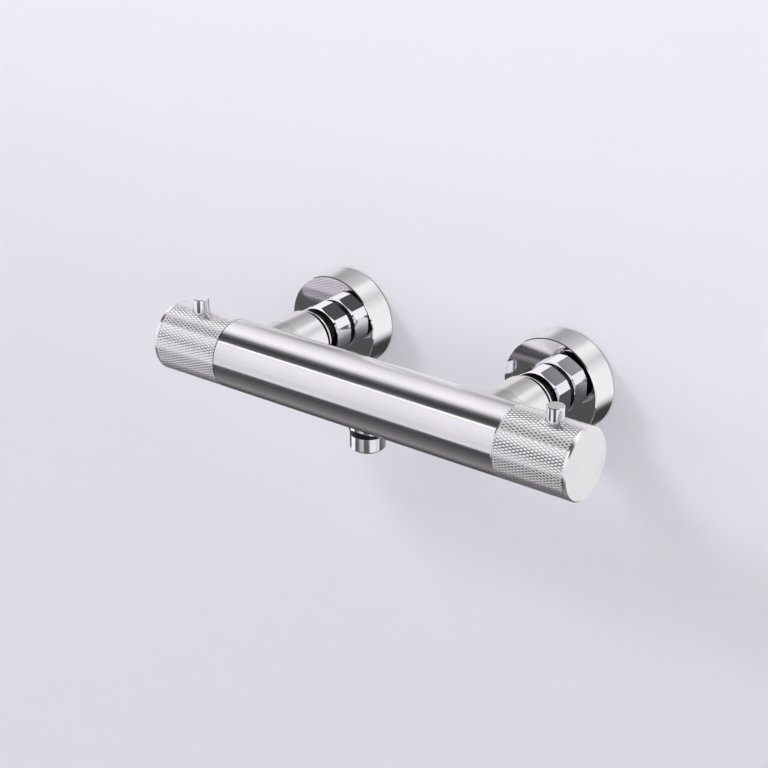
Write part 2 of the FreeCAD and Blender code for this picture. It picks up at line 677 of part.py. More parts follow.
def thermostat_housing():
    """Cartridge housing with hot and cold windows each side of its middle land."""
    shell = cartridge_shell(THERMO_SHOULDER, THERMO_WAIST_RADIUS, THERMO_CHAMBER_RADIUS, THERMO_END_WALL)
    land = tube("X", BAR, depth(middle_land() - LAND_LENGTH / 2), depth(middle_land() + LAND_LENGTH / 2),
                CARTRIDGE_RADIUS, THERMO_WAIST_RADIUS - FIT)
    shell = cut(fuse([shell, land]), windows(hot_port()) + windows(cold_port()))
    return cut(shell, [
        seal_groove("X", BAR, depth(middle_land()), BODY_BORE),
        rod("X", BAR, depth(THERMO_SHOULDER - THERMO_END_WALL),
            depth(THERMO_SHOULDER + PLUG_LENGTH + OVERRUN), THERMO_OUTLET_RADIUS)])


def spindle_collar():
    """Spindle from its splined outer end to the collar inside the cartridge's neck."""
    top = NECK_REACH - NECK_END_WALL - FACE_GAP
    stem = rod("X", BAR, reach(top), reach(SPINDLE_REACH), SPINDLE_RADIUS)
    collar = rod("X", BAR, reach(top), reach(top - SPINDLE_COLLAR_LENGTH), NECK_BORE_RADIUS - FIT)
    hole_end = SPINDLE_REACH + SCREW_GRIP - SCREW_LENGTH - OVERRUN
    hole = rod("X", BAR, reach(SPINDLE_REACH) + OVERRUN, reach(hole_end), SCREW_RADIUS + FIT)
    groove = seal_groove("X", BAR, reach(spindle_seal_place()), NECK_BORE_RADIUS)
    return cut(fuse([stem, collar]), [hole, groove])


def spindle_seal_place():
    """Place of the spindle's seal, midway along its collar."""
    return NECK_REACH - NECK_END_WALL - FACE_GAP - SPINDLE_COLLAR_LENGTH / 2


def collar_depth():
    """Depth of the collar's inner face."""
    return SPINDLE_COLLAR_LENGTH + FACE_GAP - (NECK_REACH - NECK_END_WALL)


def temperature_spindle():
    """Spindle whose inner end is the regulating screw."""
    screw = rod("X", BAR, depth(collar_depth()), depth(collar_depth() + REGULATOR_THREAD_LENGTH),
                REGULATOR_THREAD_RADIUS)
    return fuse([spindle_collar(), screw])


def regulator_nut_end():
    """Depth of the regulating nut's inner face at rest."""
    return collar_depth() + REGULATOR_PLAY + REGULATOR_NUT_LENGTH


def regulating_nut():
    """Nut that slides in the neck as the spindle's screw turns in it."""
    return tube("X", BAR, depth(regulator_nut_end() - REGULATOR_NUT_LENGTH), depth(regulator_nut_end()),
                NECK_BORE_RADIUS - FIT, REGULATOR_THREAD_RADIUS + FIT)


def piston_head():
    """Depth of the piston's head, which the overtravel spring presses."""
    return shuttle_start() - PISTON_LENGTH - PISTON_HEAD_THICKNESS


def wax_element():
    """Wax element with its piston towards the regulating nut and a rim that carries the shuttle."""
    start = shuttle_start()
    head = piston_head()
    return fuse([
        rod("X", BAR, depth(head), depth(head + PISTON_HEAD_THICKNESS), PISTON_HEAD_RADIUS),
        rod("X", BAR, depth(head), depth(start), PISTON_RADIUS),
        rod("X", BAR, depth(start), depth(start + ELEMENT_LENGTH), ELEMENT_RADIUS),
        rod("X", BAR, depth(start), depth(start + ELEMENT_RIM), ELEMENT_RADIUS + ELEMENT_RIM)])


def shuttle_ring():
    """Sliding ring that closes the hot windows one way and the cold windows the other."""
    start = shuttle_start()
    outer = THERMO_CHAMBER_RADIUS - FIT
    web = start + ELEMENT_RIM
    ring = fuse([
        tube("X", BAR, depth(start), depth(start + SHUTTLE_LENGTH), outer, outer - SHUTTLE_SKIRT),
        tube("X", BAR, depth(web), depth(web + SHUTTLE_WEB), outer, ELEMENT_RADIUS + FIT)])
    holes = []
    for step in range(6):
        hole = rod("X", (BAR[0], BAR[1] + (outer - SHUTTLE_SKIRT + ELEMENT_RADIUS) / 2), depth(start),
                   depth(web + SHUTTLE_WEB + OVERRUN), (outer - SHUTTLE_SKIRT - ELEMENT_RADIUS) / 4)
        hole.rotate(spot("X", BAR, 0), AXES["X"], 60 * step)
        holes.append(hole)
    return cut(ring, holes)


def return_spring():
    """Coil that holds the shuttle against the wax element's rim."""
    start = shuttle_start() + ELEMENT_RIM + SHUTTLE_WEB
    end = THERMO_SHOULDER - THERMO_END_WALL
    return coil("return_spring", "X", BAR, depth(end), depth(start), RETURN_SPRING_RADIUS,
                RETURN_SPRING_WIRE, RETURN_SPRING_TURNS)


def overtravel_spring():
    """Stiff coil between regulating nut and piston, which gives way if the element over-runs."""
    return coil("overtravel_spring", "X", BAR, depth(piston_head()), depth(regulator_nut_end()),
                OVERTRAVEL_SPRING_RADIUS, OVERTRAVEL_SPRING_WIRE, OVERTRAVEL_SPRING_TURNS)


def through_ports(start, end, radius):
    """Cutters for the mixed bore above the axis and the outlet bore below it."""
    y, z = BAR
    return [rod("X", (y, z + side * WATERWAY_BORE_OFFSET), start, end, radius) for side in (-1, 1)]


def flow_housing():
    """Flow cartridge housing with two bores through its plug."""
    shell = cartridge_shell(FLOW_SHOULDER, FLOW_WAIST_RADIUS, FLOW_CHAMBER_RADIUS, FLOW_END_WALL)
    return cut(shell, through_ports(depth(FLOW_SHOULDER - FLOW_END_WALL - OVERRUN),
                                    depth(FLOW_SHOULDER + PLUG_LENGTH + OVERRUN), WATERWAY_BORE_RADIUS))


def port_seal(shoulder, side):
    """Flat gasket between a cartridge's plug and the floor of the waterway's socket."""
    start = depth(shoulder + PLUG_LENGTH)
    end = depth(shoulder + PLUG_LENGTH + PORT_SEAL_THICKNESS + FACE_GAP)
    gasket = rod("X", BAR, start, end, PLUG_RADIUS)
    if side < 0:
        return gasket.cut(rod("X", (BAR[0], BAR[1] + WATERWAY_BORE_OFFSET), start + OVERRUN, end - OVERRUN,
                              WATERWAY_BORE_RADIUS))
    return cut(gasket, through_ports(start + OVERRUN, end - OVERRUN, WATERWAY_BORE_RADIUS))


def disc_seat():
    """Depth of the chamber floor that carries the disc seal."""
    return FLOW_SHOULDER - FLOW_END_WALL


def disc_seal():
    """Rubber seal under the fixed disc."""
    start = disc_seat()
    end = start - DISC_SEAL_THICKNESS
    seal = rod("X", BAR, depth(start), depth(end), FLOW_CHAMBER_RADIUS - FIT)
    return cut(seal, through_ports(depth(start + OVERRUN), depth(end - OVERRUN), WATERWAY_BORE_RADIUS))


def fixed_disc():
    """Ceramic disc with two ports."""
    start = disc_seat() - DISC_SEAL_THICKNESS
    disc = rod("X", BAR, depth(start), depth(start - FIXED_DISC_THICKNESS), FLOW_CHAMBER_RADIUS - FIT)
    return cut(disc, through_ports(depth(start + OVERRUN), depth(start - FIXED_DISC_THICKNESS - OVERRUN),
                                   WATERWAY_BORE_RADIUS))


def moving_disc_face():
    """Depth of the moving disc's sealing face."""
    return disc_seat() - DISC_SEAL_THICKNESS - FIXED_DISC_THICKNESS - FIT


def moving_disc():
    """Ceramic disc with a blind pocket that bridges both ports once it has turned a quarter turn."""
    start = moving_disc_face()
    y, z = BAR
    low, high = depth(start), depth(start - MOVING_DISC_POCKET)
    bore = WATERWAY_BORE_RADIUS
    offset = WATERWAY_BORE_OFFSET
    pocket = fuse([rod("X", (y - offset, z), low - OVERRUN, high, bore),
                   rod("X", (y + offset, z), low - OVERRUN, high, bore),
                   block((low - OVERRUN, high), (y - offset, y + offset), (z - bore, z + bore))])
    disc = rod("X", BAR, depth(start), depth(start - MOVING_DISC_THICKNESS), FLOW_CHAMBER_RADIUS - FIT)
    back = depth(start - MOVING_DISC_THICKNESS)
    slot = block((back - DRIVER_TONGUE, back + OVERRUN), (y - FLOW_CHAMBER_RADIUS, y + FLOW_CHAMBER_RADIUS),
                 (z - DRIVER_TONGUE, z + DRIVER_TONGUE))
    return cut(disc, [pocket, slot])


def flow_spindle():
    """Spindle with a driver whose tongue sits in the moving disc's slot."""
    back = moving_disc_face() - MOVING_DISC_THICKNESS - FIT
    front = back - DRIVER_THICKNESS
    y, z = BAR
    half = DRIVER_TONGUE - FIT
    wide = FLOW_CHAMBER_RADIUS - 2 * FIT - DRIVER_TONGUE
    return fuse([
        spindle_collar(),
        rod("X", BAR, depth(collar_depth()), depth(front), SPINDLE_RADIUS),
        rod("X", BAR, depth(front), depth(back), FLOW_CHAMBER_RADIUS - 2 * FIT),
        block((depth(back) - half, depth(back)), (y - wide, y + wide), (z - half, z + half))])


# --- Handles, drawn on the right ----------------------------------------------------------------

SLEEVE_START = HANDLE_GAP
SLEEVE_END = SLEEVE_START + SLEEVE_LENGTH
SLEEVE_BORE = BODY_RADIUS - SLEEVE_WALL
HUB_RADIUS = SLEEVE_BORE - FIT
HUB_END = SLEEVE_END - CAP_SKIRT_LENGTH - HANDLE_GAP
BUTTON_AT = (BODY_HALF + BUTTON_FROM_BODY, -BAR_STANDOFF)
BUTTON_COLLAR_RADIUS = BUTTON_RADIUS + BUTTON_COLLAR
COLLAR_TOP = UNION_OFFSET + math.sqrt(SLEEVE_BORE ** 2 - BUTTON_COLLAR_RADIUS ** 2) - FACE_GAP
COLLAR_BOTTOM = COLLAR_TOP - BUTTON_COLLAR_THICKNESS
POCKET_FLOOR = UNION_OFFSET + BODY_RADIUS - BUTTON_POCKET_DEPTH


def handle_sleeve():
    """Outer grip of a handle, with a hole for its push button."""
    start, end = reach(SLEEVE_START), reach(SLEEVE_END)
    sleeve = turned("X", BAR, [
        (start, SLEEVE_BORE), (start, BODY_RADIUS - EDGE_BEVEL), (start + EDGE_BEVEL, BODY_RADIUS),
        (end, BODY_RADIUS), (end, SLEEVE_BORE)])
    return sleeve.cut(rod("Z", BUTTON_AT, UNION_OFFSET, UNION_OFFSET + BODY_RADIUS + OVERRUN,
                          BUTTON_RADIUS + BUTTON_HOLE_PLAY))


def end_cap():
    """Flat end disc with a skirt pressed into the sleeve."""
    start, end = reach(SLEEVE_END), reach(SLEEVE_END + CAP_THICKNESS)
    skirt = start - CAP_SKIRT_LENGTH
    outer = SLEEVE_BORE - FIT
    return turned("X", BAR, [
        (skirt, outer - CAP_SKIRT_WALL), (skirt, outer), (start, outer), (start, BODY_RADIUS),
        (end - CAP_CHAMFER, BODY_RADIUS), (end, BODY_RADIUS - CAP_CHAMFER), (end, 0),
        (start, 0), (start, outer - CAP_SKIRT_WALL)])


def handle_hub():
    """Carrier between spindle and sleeve: spindle bore, screw web, button pocket and stop lug."""
    y, z = BAR
    half = STOP_LUG_WIDTH / 2
    hub = fuse([
        rod("X", BAR, reach(HUB_START), reach(HUB_END), HUB_RADIUS),
        sector("X", BAR, reach(RETAINER_PROUD + HANDLE_GAP), reach(HUB_START + STOP_LUG_ROOT),
               STOP_LUG_RADIUS, stop_ring_radius() + HANDLE_GAP, -half, half)])
    return cut(hub, [
        rod("X", BAR, reach(HUB_START) - OVERRUN, reach(SPINDLE_REACH + FACE_GAP), SPINDLE_RADIUS + FIT),
        rod("X", BAR, reach(SPINDLE_REACH), reach(HUB_END), SCREW_RADIUS + FIT),
        rod("X", BAR, reach(SPINDLE_REACH + SCREW_GRIP), reach(HUB_END) + OVERRUN, HUB_RECESS_RADIUS),
        rod("Z", BUTTON_AT, POCKET_FLOOR, z + BODY_RADIUS, BUTTON_COLLAR_RADIUS + BUTTON_HOLE_PLAY)])


def hub_screw():
    """Socket screw that holds the hub on the spindle."""
    head = SPINDLE_REACH + SCREW_GRIP
    screw = fuse([
        rod("X", BAR, reach(head), reach(head + SCREW_HEAD_HEIGHT), SCREW_HEAD_RADIUS),
        rod("X", BAR, reach(head - SCREW_LENGTH), reach(head), SCREW_RADIUS)])
    socket = hexagon("X", BAR, reach(head + SCREW_HEAD_HEIGHT - SCREW_SOCKET_DEPTH),
                     reach(head + SCREW_HEAD_HEIGHT + OVERRUN), SCREW_SOCKET_FLATS, 0)
    return screw.cut(socket)


def push_button():
    """Button through the sleeve; its collar stops it inside, its stem guides the spring."""
    top = UNION_OFFSET + BODY_RADIUS + BUTTON_PROUD
    stem_end = POCKET_FLOOR + BUTTON_TRAVEL + HANDLE_GAP
    return turned("Z", BUTTON_AT, [
        (stem_end, 0), (stem_end, BUTTON_STEM_RADIUS), (COLLAR_BOTTOM, BUTTON_STEM_RADIUS),
        (COLLAR_BOTTOM, BUTTON_COLLAR_RADIUS), (COLLAR_TOP, BUTTON_COLLAR_RADIUS),
        (COLLAR_TOP, BUTTON_RADIUS), (top - BUTTON_BEVEL, BUTTON_RADIUS),
        (top, BUTTON_RADIUS - BUTTON_BEVEL), (top, 0)])


def button_spring(name):
    """Coil under the button's collar."""
    return coil(name, "Z", BUTTON_AT, POCKET_FLOOR, COLLAR_BOTTOM, BUTTON_SPRING_RADIUS,
                BUTTON_SPRING_WIRE, BUTTON_SPRING_TURNS)


def stop_ring_radius():
    """Outside of the stop ring where it has no lug."""
    return NECK_RADIUS + FIT + STOP_RING_WALL


def stop_ring(lowest, highest):
    """Splined ring on the cartridge's neck; its lug fills the arc that the hub's lug may not enter."""
    start = reach(RETAINER_PROUD)
    end = start + STOP_RING_THICKNESS
    spare = STOP_LUG_WIDTH / 2 + STOP_PLAY
    first = highest + spare
    last = 360 + lowest - spare
    return fuse([
        tube("X", BAR, start, end, stop_ring_radius(), NECK_RADIUS + FIT),
        sector("X", BAR, start, end, STOP_LUG_RADIUS, stop_ring_radius() - FIT, first, last)])


# --- Export -------------------------------------------------------------------------------------

save("valve_body", valve_body())
save("waterway_insert", waterway_insert())
save("outlet_nipple", outlet_nipple())
save("outlet_seal_ring", seal_ring("Z", (0, -BAR_STANDOFF), outlet_seal_place(), OUTLET_PLUG_RADIUS + FIT))

for water, inlet_x in (("hot", -INLET_CENTRES / 2), ("cold", INLET_CENTRES / 2)):
    save(f"{water}_wall_union", wall_union(inlet_x))
    save(f"{water}_wall_flange", wall_flange(inlet_x))
    save(f"{water}_flange_seal", flange_seal(inlet_x))
    save(f"{water}_union_nut", union_nut(inlet_x))
    save(f"{water}_filter_washer", filter_washer(inlet_x))
    save(f"{water}_filter_screen", filter_screen(inlet_x))
    save(f"{water}_inlet_spigot", inlet_spigot(inlet_x))
    save(f"{water}_spigot_seal_ring",
         seal_ring("Y", (inlet_x, UNION_OFFSET), -spigot_seal_place(), SPIGOT_NECK_RADIUS + FIT))
    save(f"{water}_check_valve_cage", check_housing(inlet_x))
    save(f"{water}_check_valve_poppet", check_poppet(inlet_x))
    save(f"{water}_check_valve_spring", check_spring(f"{water}_check_valve_spring", inlet_x))

save("thermostat_retaining_nut", mirrored(retaining_nut()))
save("thermostat_housing", mirrored(thermostat_housing()))
save("thermostat_seal_rings", mirrored(Part.makeCompound(
    shell_seals(THERMO_SHOULDER) + [seal_ring("X", BAR, depth(middle_land()), BODY_BORE)])))
save("thermostat_port_seal", mirrored(port_seal(THERMO_SHOULDER, -1)))
save("temperature_spindle", mirrored(temperature_spindle()))
save("temperature_spindle_seal_ring",
     mirrored(seal_ring("X", BAR, reach(spindle_seal_place()), NECK_BORE_RADIUS)))
save("regulating_nut", mirrored(regulating_nut()))
save("overtravel_spring", mirrored(overtravel_spring()))
save("wax_element", mirrored(wax_element()))
save("mixing_shuttle", mirrored(shuttle_ring()))
save("return_spring", mirrored(return_spring()))

save("flow_retaining_nut", retaining_nut())
save("flow_cartridge_housing", flow_housing())
save("flow_cartridge_seal_rings", Part.makeCompound(shell_seals(FLOW_SHOULDER)))
save("flow_port_seal", port_seal(FLOW_SHOULDER, 1))
save("flow_disc_seal", disc_seal())
save("fixed_ceramic_disc", fixed_disc())
save("moving_ceramic_disc", moving_disc())
save("flow_spindle", flow_spindle())
save("flow_spindle_seal_ring", seal_ring("X", BAR, reach(spindle_seal_place()), NECK_BORE_RADIUS))

save("temperature_stop_ring", mirrored(stop_ring(-TEMPERATURE_RANGE[1], -TEMPERATURE_RANGE[0])))
save("flow_stop_ring", stop_ring(*FLOW_RANGE))

for control, placed in (("temperature", mirrored), ("flow", Part.Shape.copy)):
    save(f"{control}_handle_sleeve", placed(handle_sleeve()))
    save(f"{control}_handle_end_cap", placed(end_cap()))
    save(f"{control}_handle_hub", placed(handle_hub()))
    save(f"{control}_hub_screw", placed(hub_screw()))
    save(f"{control}_push_button", placed(push_button()))
    save(f"{control}_button_spring", placed(button_spring(f"{control}_button_spring")))
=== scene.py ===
import math

import bpy
import numpy as np
from mathutils import Matrix, Vector


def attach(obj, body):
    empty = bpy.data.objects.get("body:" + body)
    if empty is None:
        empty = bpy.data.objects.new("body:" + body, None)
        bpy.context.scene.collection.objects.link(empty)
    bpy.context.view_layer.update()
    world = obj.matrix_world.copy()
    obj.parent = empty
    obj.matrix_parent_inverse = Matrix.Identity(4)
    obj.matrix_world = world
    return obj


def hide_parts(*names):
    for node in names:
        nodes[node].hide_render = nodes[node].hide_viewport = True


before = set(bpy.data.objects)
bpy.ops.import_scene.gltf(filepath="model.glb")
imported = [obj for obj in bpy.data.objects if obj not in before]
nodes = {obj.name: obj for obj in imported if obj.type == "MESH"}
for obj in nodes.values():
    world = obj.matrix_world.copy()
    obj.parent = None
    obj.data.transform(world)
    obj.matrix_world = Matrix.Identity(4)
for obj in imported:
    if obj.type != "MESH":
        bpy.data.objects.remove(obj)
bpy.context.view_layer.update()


# --- Eccentric wall unions -------------------------------------------------------------------------
# Two plated brass unions screw into the supply elbows, lift the inlets by 10 mm and end in the larger
# thread that the union nut pulls on. The sliver of them that shows between flange and nut is painted
# near black, a painted shade; behind the wall they are bare.

def add(tree, kind, sockets=None, **settings):
    """One shader node; sockets gives each input, by name or number, a value or another node's output."""
    made = tree.nodes.new(kind)
    for name, value in settings.items():
        setattr(made, name, value)
    for key, value in (sockets or {}).items():
        if isinstance(value, bpy.types.NodeSocket):
            tree.links.new(value, made.inputs[key])
        else:
            made.inputs[key].default_value = value
    return made


def calc(tree, operation, *values):
    """Output of one Math node."""
    return add(tree, "ShaderNodeMath", dict(enumerate(values)), operation=operation).outputs[0]


def blend_value(tree, factor, low, high):
    """Value between low and high as factor goes from 0 to 1."""
    mixed = add(tree, "ShaderNodeMix", {0: factor, 2: low, 3: high}, data_type="FLOAT")
    return mixed.outputs[0]


def blend_colour(tree, factor, low, high):
    """Colour between low and high as factor goes from 0 to 1."""
    mixed = add(tree, "ShaderNodeMix", {0: factor, 6: low, 7: high}, data_type="RGBA")
    return mixed.outputs[2]


def grade(tree, value, start, end, low=0.0, high=1.0):
    """Value that runs from low to high, smoothly, as the input passes from start to end."""
    graded = add(tree, "ShaderNodeMapRange", {0: value, 1: start, 2: end, 3: low, 4: high},
                 interpolation_type="SMOOTHSTEP", clamp=True)
    return graded.outputs[0]


def make_group(name, inputs, outputs, build):
    """Shader node group with named float or vector sockets; build wires it up."""
    tree = bpy.data.node_groups.new(name, "ShaderNodeTree")
    kinds = {"VECTOR": "NodeSocketVector", "VALUE": "NodeSocketFloat"}
    for label, kind in inputs:
        tree.interface.new_socket(label, in_out="INPUT", socket_type=kinds[kind])
    for label, kind in outputs:
        tree.interface.new_socket(label, in_out="OUTPUT", socket_type=kinds[kind])
    entry = tree.nodes.new("NodeGroupInput")
    leave = tree.nodes.new("NodeGroupOutput")
    build(tree, entry.outputs, leave.inputs)
    return tree


def build_grain(tree, given, result):
    """Grain: a coarse noise of the stretched place plus a finer one at 2.7 times its pitch."""
    coarse = add(tree, "ShaderNodeTexNoise", {"Vector": given["Place"], "Scale": 1.0, "Detail": 3.0,
                                              "Roughness": 0.6})
    fine = add(tree, "ShaderNodeTexNoise", {"Vector": given["Place"], "Scale": 2.7, "Detail": 1.0})
    mixed = blend_value(tree, 0.35, coarse.outputs[0], fine.outputs[0])
    tree.links.new(mixed, result["Grain"])


def build_smudges(tree, given, result):
    """Smudges: a soft noise, cut so that only its upper part shows."""
    cloud = add(tree, "ShaderNodeTexNoise", {"Vector": given["Place"], "Scale": given["Scale"],
                                             "Detail": 4.0, "Roughness": 0.55})
    tree.links.new(grade(tree, cloud.outputs[0], 0.42, 0.72), result["Mask"])


grain_group = make_group("line_grain", [("Place", "VECTOR")], [("Grain", "VALUE")], build_grain)
smudge_group = make_group("handling_smudges", [("Place", "VECTOR"), ("Scale", "VALUE")],
                          [("Mask", "VALUE")], build_smudges)


def start_material(name, metallic, **fixed):
    """Material with one Principled shader; returns it, its tree, the shader and object coordinates."""
    made = bpy.data.materials.new(name)
    made.use_nodes = True
    tree = made.node_tree
    shader = tree.nodes["Principled BSDF"]
    shader.inputs["Metallic"].default_value = metallic
    for key, value in fixed.items():
        shader.inputs[key].default_value = value
    place = add(tree, "ShaderNodeTexCoord").outputs["Object"]
    return made, tree, shader, place


def stretch(tree, place, scale):
    """Object coordinates multiplied by a scale per axis."""
    return add(tree, "ShaderNodeMapping", {"Vector": place, "Scale": scale}).outputs[0]


def grain_of(tree, place, scale):
    """Grain value at a stretched place."""
    made = add(tree, "ShaderNodeGroup", node_tree=grain_group)
    tree.links.new(stretch(tree, place, scale), made.inputs["Place"])
    return made.outputs["Grain"]


def smudges_of(tree, place, scale):
    """Smudge mask at object coordinates."""
    made = add(tree, "ShaderNodeGroup", node_tree=smudge_group)
    tree.links.new(place, made.inputs["Place"])
    made.inputs["Scale"].default_value = scale
    return made.outputs["Mask"]


def relief(tree, height, depth):
    """Normal bent by a height that goes from 0 to 1 over the given depth."""
    return add(tree, "ShaderNodeBump", {"Height": height, "Distance": depth, "Strength": 1.0}).outputs[0]


def dress(material, *names):
    """Gives CAD nodes a finish."""
    for name in names:
        nodes[name].material_slots[0].material = material


def turned_metal(name, light, dark, roughness, scale):
    """Machined bar stock: tool marks as stretched grain, colour drifting between two tones."""
    made, tree, shader, place = start_material(name, 1.0)
    marks = grain_of(tree, place, scale)
    stain = smudges_of(tree, place, 60.0)
    tree.links.new(blend_colour(tree, stain, light, dark), shader.inputs["Base Color"])
    tree.links.new(blend_value(tree, marks, roughness - 0.08, roughness + 0.1), shader.inputs["Roughness"])
    tree.links.new(relief(tree, marks, 0.00002), shader.inputs["Normal"])
    return made


BRASS_LIGHT, BRASS_DARK = (0.70, 0.52, 0.24, 1), (0.58, 0.42, 0.19, 1)
THREAD_PITCH = 0.001814       # G 1/2
BARE_FROM, BARE_TO = -0.0004, 0.0002


def threaded_union(name):
    """Painted near black towards the room, a painted shade in the gap between flange and nut; bare brass with
    its thread's crests on the part in the wall.
    """
    made, tree, shader, place = start_material(name, 1.0)
    deep = add(tree, "ShaderNodeSeparateXYZ", {0: place}).outputs["Y"]
    in_wall = grade(tree, deep, BARE_FROM, BARE_TO)
    marks = grain_of(tree, place, (300, 2200, 300))
    stain = smudges_of(tree, place, 60.0)
    bare = blend_colour(tree, stain, BRASS_LIGHT, BRASS_DARK)
    # Painted shade: towards the room the union is coloured near black, standing in for the shadowy gap round
    # it.
    plated = blend_colour(tree, stain, (0.035, 0.035, 0.037, 1), (0.05, 0.05, 0.052, 1))
    tree.links.new(blend_colour(tree, in_wall, plated, bare), shader.inputs["Base Color"])
    tree.links.new(blend_value(tree, marks, 0.22, 0.38), shader.inputs["Roughness"])
    thread = calc(tree, "PINGPONG", deep, THREAD_PITCH / 2)
    cut = calc(tree, "MULTIPLY", calc(tree, "DIVIDE", thread, THREAD_PITCH / 2), in_wall)
    height = calc(tree, "ADD", cut, calc(tree, "MULTIPLY", marks, 0.05))
    tree.links.new(relief(tree, height, 0.0006), shader.inputs["Normal"])
    return made


brass = turned_metal("raw_brass", BRASS_LIGHT, BRASS_DARK, 0.32, (300, 2200, 300))
dress(brass, "thermostat_retaining_nut", "temperature_spindle", "regulating_nut", "flow_retaining_nut",
      "flow_spindle")
dress(threaded_union("union_brass_painted_shade"), "hot_wall_union", "cold_wall_union")


# --- Wall flanges ----------------------------------------------------------------------------------
# Deep round cups of pressed brass, polished and chromed. Each is pushed along its union until its
# rubber ring seals against the wall.

CHROME_LIGHT, CHROME_DARK = (0.95, 0.935, 0.965, 1), (0.915, 0.90, 0.93, 1)


def chrome_finish(name, haze):
    """Chrome plate: mirror finish with faint polishing swirls and fingerprints in its roughness."""
    made, tree, shader, place = start_material(name, 1.0)
    swirl = grain_of(tree, place, (900, 900, 900))
    touch = smudges_of(tree, place, 45.0)
    tone = blend_colour(tree, touch, CHROME_LIGHT, CHROME_DARK)
    tree.links.new(tone, shader.inputs["Base Color"])
    rough = calc(tree, "ADD", blend_value(tree, swirl, haze * 0.6, haze * 1.4),
                 calc(tree, "MULTIPLY", touch, 0.015))
    tree.links.new(rough, shader.inputs["Roughness"])
    tree.links.new(relief(tree, swirl, 0.0000004), shader.inputs["Normal"])
    return made


chrome = chrome_finish("polished_chrome", 0.035)
dress(chrome, "hot_wall_flange", "cold_wall_flange")


def soft_finish(name, light, dark, roughness, bump, specular):
    """Moulded rubber or plastic: fine pores, slight tone drift, more polish where it has been handled."""
    made, tree, shader, place = start_material(name, 0.0, **{"Specular IOR Level": specular})
    pores = grain_of(tree, place, (1500, 1500, 1500))
    worn = smudges_of(tree, place, 80.0)
    tree.links.new(blend_colour(tree, worn, light, dark), shader.inputs["Base Color"])
    rough = calc(tree, "SUBTRACT", blend_value(tree, pores, roughness - 0.05, roughness + 0.08),
                 calc(tree, "MULTIPLY", worn, 0.06))
    tree.links.new(rough, shader.inputs["Roughness"])
    tree.links.new(relief(tree, pores, bump), shader.inputs["Normal"])
    return made


rubber = soft_finish("black_rubber", (0.03, 0.03, 0.032, 1), (0.045, 0.045, 0.047, 1), 0.6, 0.00004, 0.4)
dress(rubber, "hot_flange_seal", "cold_flange_seal", "hot_filter_washer", "cold_filter_washer",
      "hot_spigot_seal_ring", "cold_spigot_seal_ring", "outlet_seal_ring", "thermostat_seal_rings",
      "thermostat_port_seal", "temperature_spindle_seal_ring", "flow_cartridge_seal_rings",
      "flow_port_seal", "flow_disc_seal", "flow_spindle_seal_ring")


# --- Union nuts and inlet spigots ------------------------------------------------------------------
# Chromed hexagon nuts, and the tubes that they pull in. Between nut and stub the tube's neck is
# painted near black, a painted shade and dark reflection, with a thin bright chrome lip on it.

dress(chrome, "hot_union_nut", "cold_union_nut")

BAR_Y, BAR_Z = -0.084, 0.010
INLET_X = 0.075
LIP_FROM, LIP_TO = 0.0143, 0.0147


def distance(tree, first, second):
    """Root of the sum of two squares."""
    return calc(tree, "SQRT", calc(tree, "ADD", calc(tree, "MULTIPLY", first, first),
                                   calc(tree, "MULTIPLY", second, second)))


def spigot_finish(name):
    """Chrome, with the neck painted near black as painted shade and dark reflection; the lip's rim is left
    bright chrome.
    """
    made, tree, shader, place = start_material(name, 1.0)
    split = add(tree, "ShaderNodeSeparateXYZ", {0: place})
    sideways = calc(tree, "SUBTRACT", calc(tree, "ABSOLUTE", split.outputs["X"]), INLET_X)
    upwards = calc(tree, "SUBTRACT", split.outputs["Z"], BAR_Z)
    lip_unshaded = grade(tree, distance(tree, sideways, upwards), LIP_FROM, LIP_TO)
    marks = grain_of(tree, place, (600, 2000, 600))
    # Painted shade and dark reflection: inside the lip the neck is coloured near black.
    tone = blend_colour(tree, lip_unshaded, (0.03, 0.03, 0.032, 1), (0.9, 0.895, 0.905, 1))
    tree.links.new(tone, shader.inputs["Base Color"])
    tree.links.new(blend_value(tree, lip_unshaded, calc(tree, "ADD", calc(tree, "MULTIPLY", marks, 0.15), 0.2),
                               0.05), shader.inputs["Roughness"])
    tree.links.new(relief(tree, marks, 0.000004), shader.inputs["Normal"])
    return made


dress(spigot_finish("spigot_chrome_painted_shade"), "hot_inlet_spigot", "cold_inlet_spigot")

screen = turned_metal("screen_steel", (0.62, 0.62, 0.63, 1), (0.5, 0.5, 0.5, 1), 0.35, (900, 900, 900))
dress(screen, "hot_filter_screen", "cold_filter_screen")


# --- Valve body ------------------------------------------------------------------------------------
# A 40 mm bar with two 34 mm stubs, cast in brass, nickelled and satin brushed round its girth. The
# grain is finer than the eye resolves, so it shows as a soft spread of each reflection along the bar.

# The stubs are the same nickel as the bar; their paler tone is painted light.
BAR_LIGHT, BAR_DARK = (0.812, 0.778, 0.822, 1), (0.78, 0.75, 0.79, 1)
STUB_PAINTED_LIGHT, STUB_PAINTED_LIGHT_STAINED = (0.95, 0.915, 0.96, 1), (0.92, 0.885, 0.93, 1)
STUB_FROM, STUB_TO = 0.0195, 0.0205      # behind the bar's axis


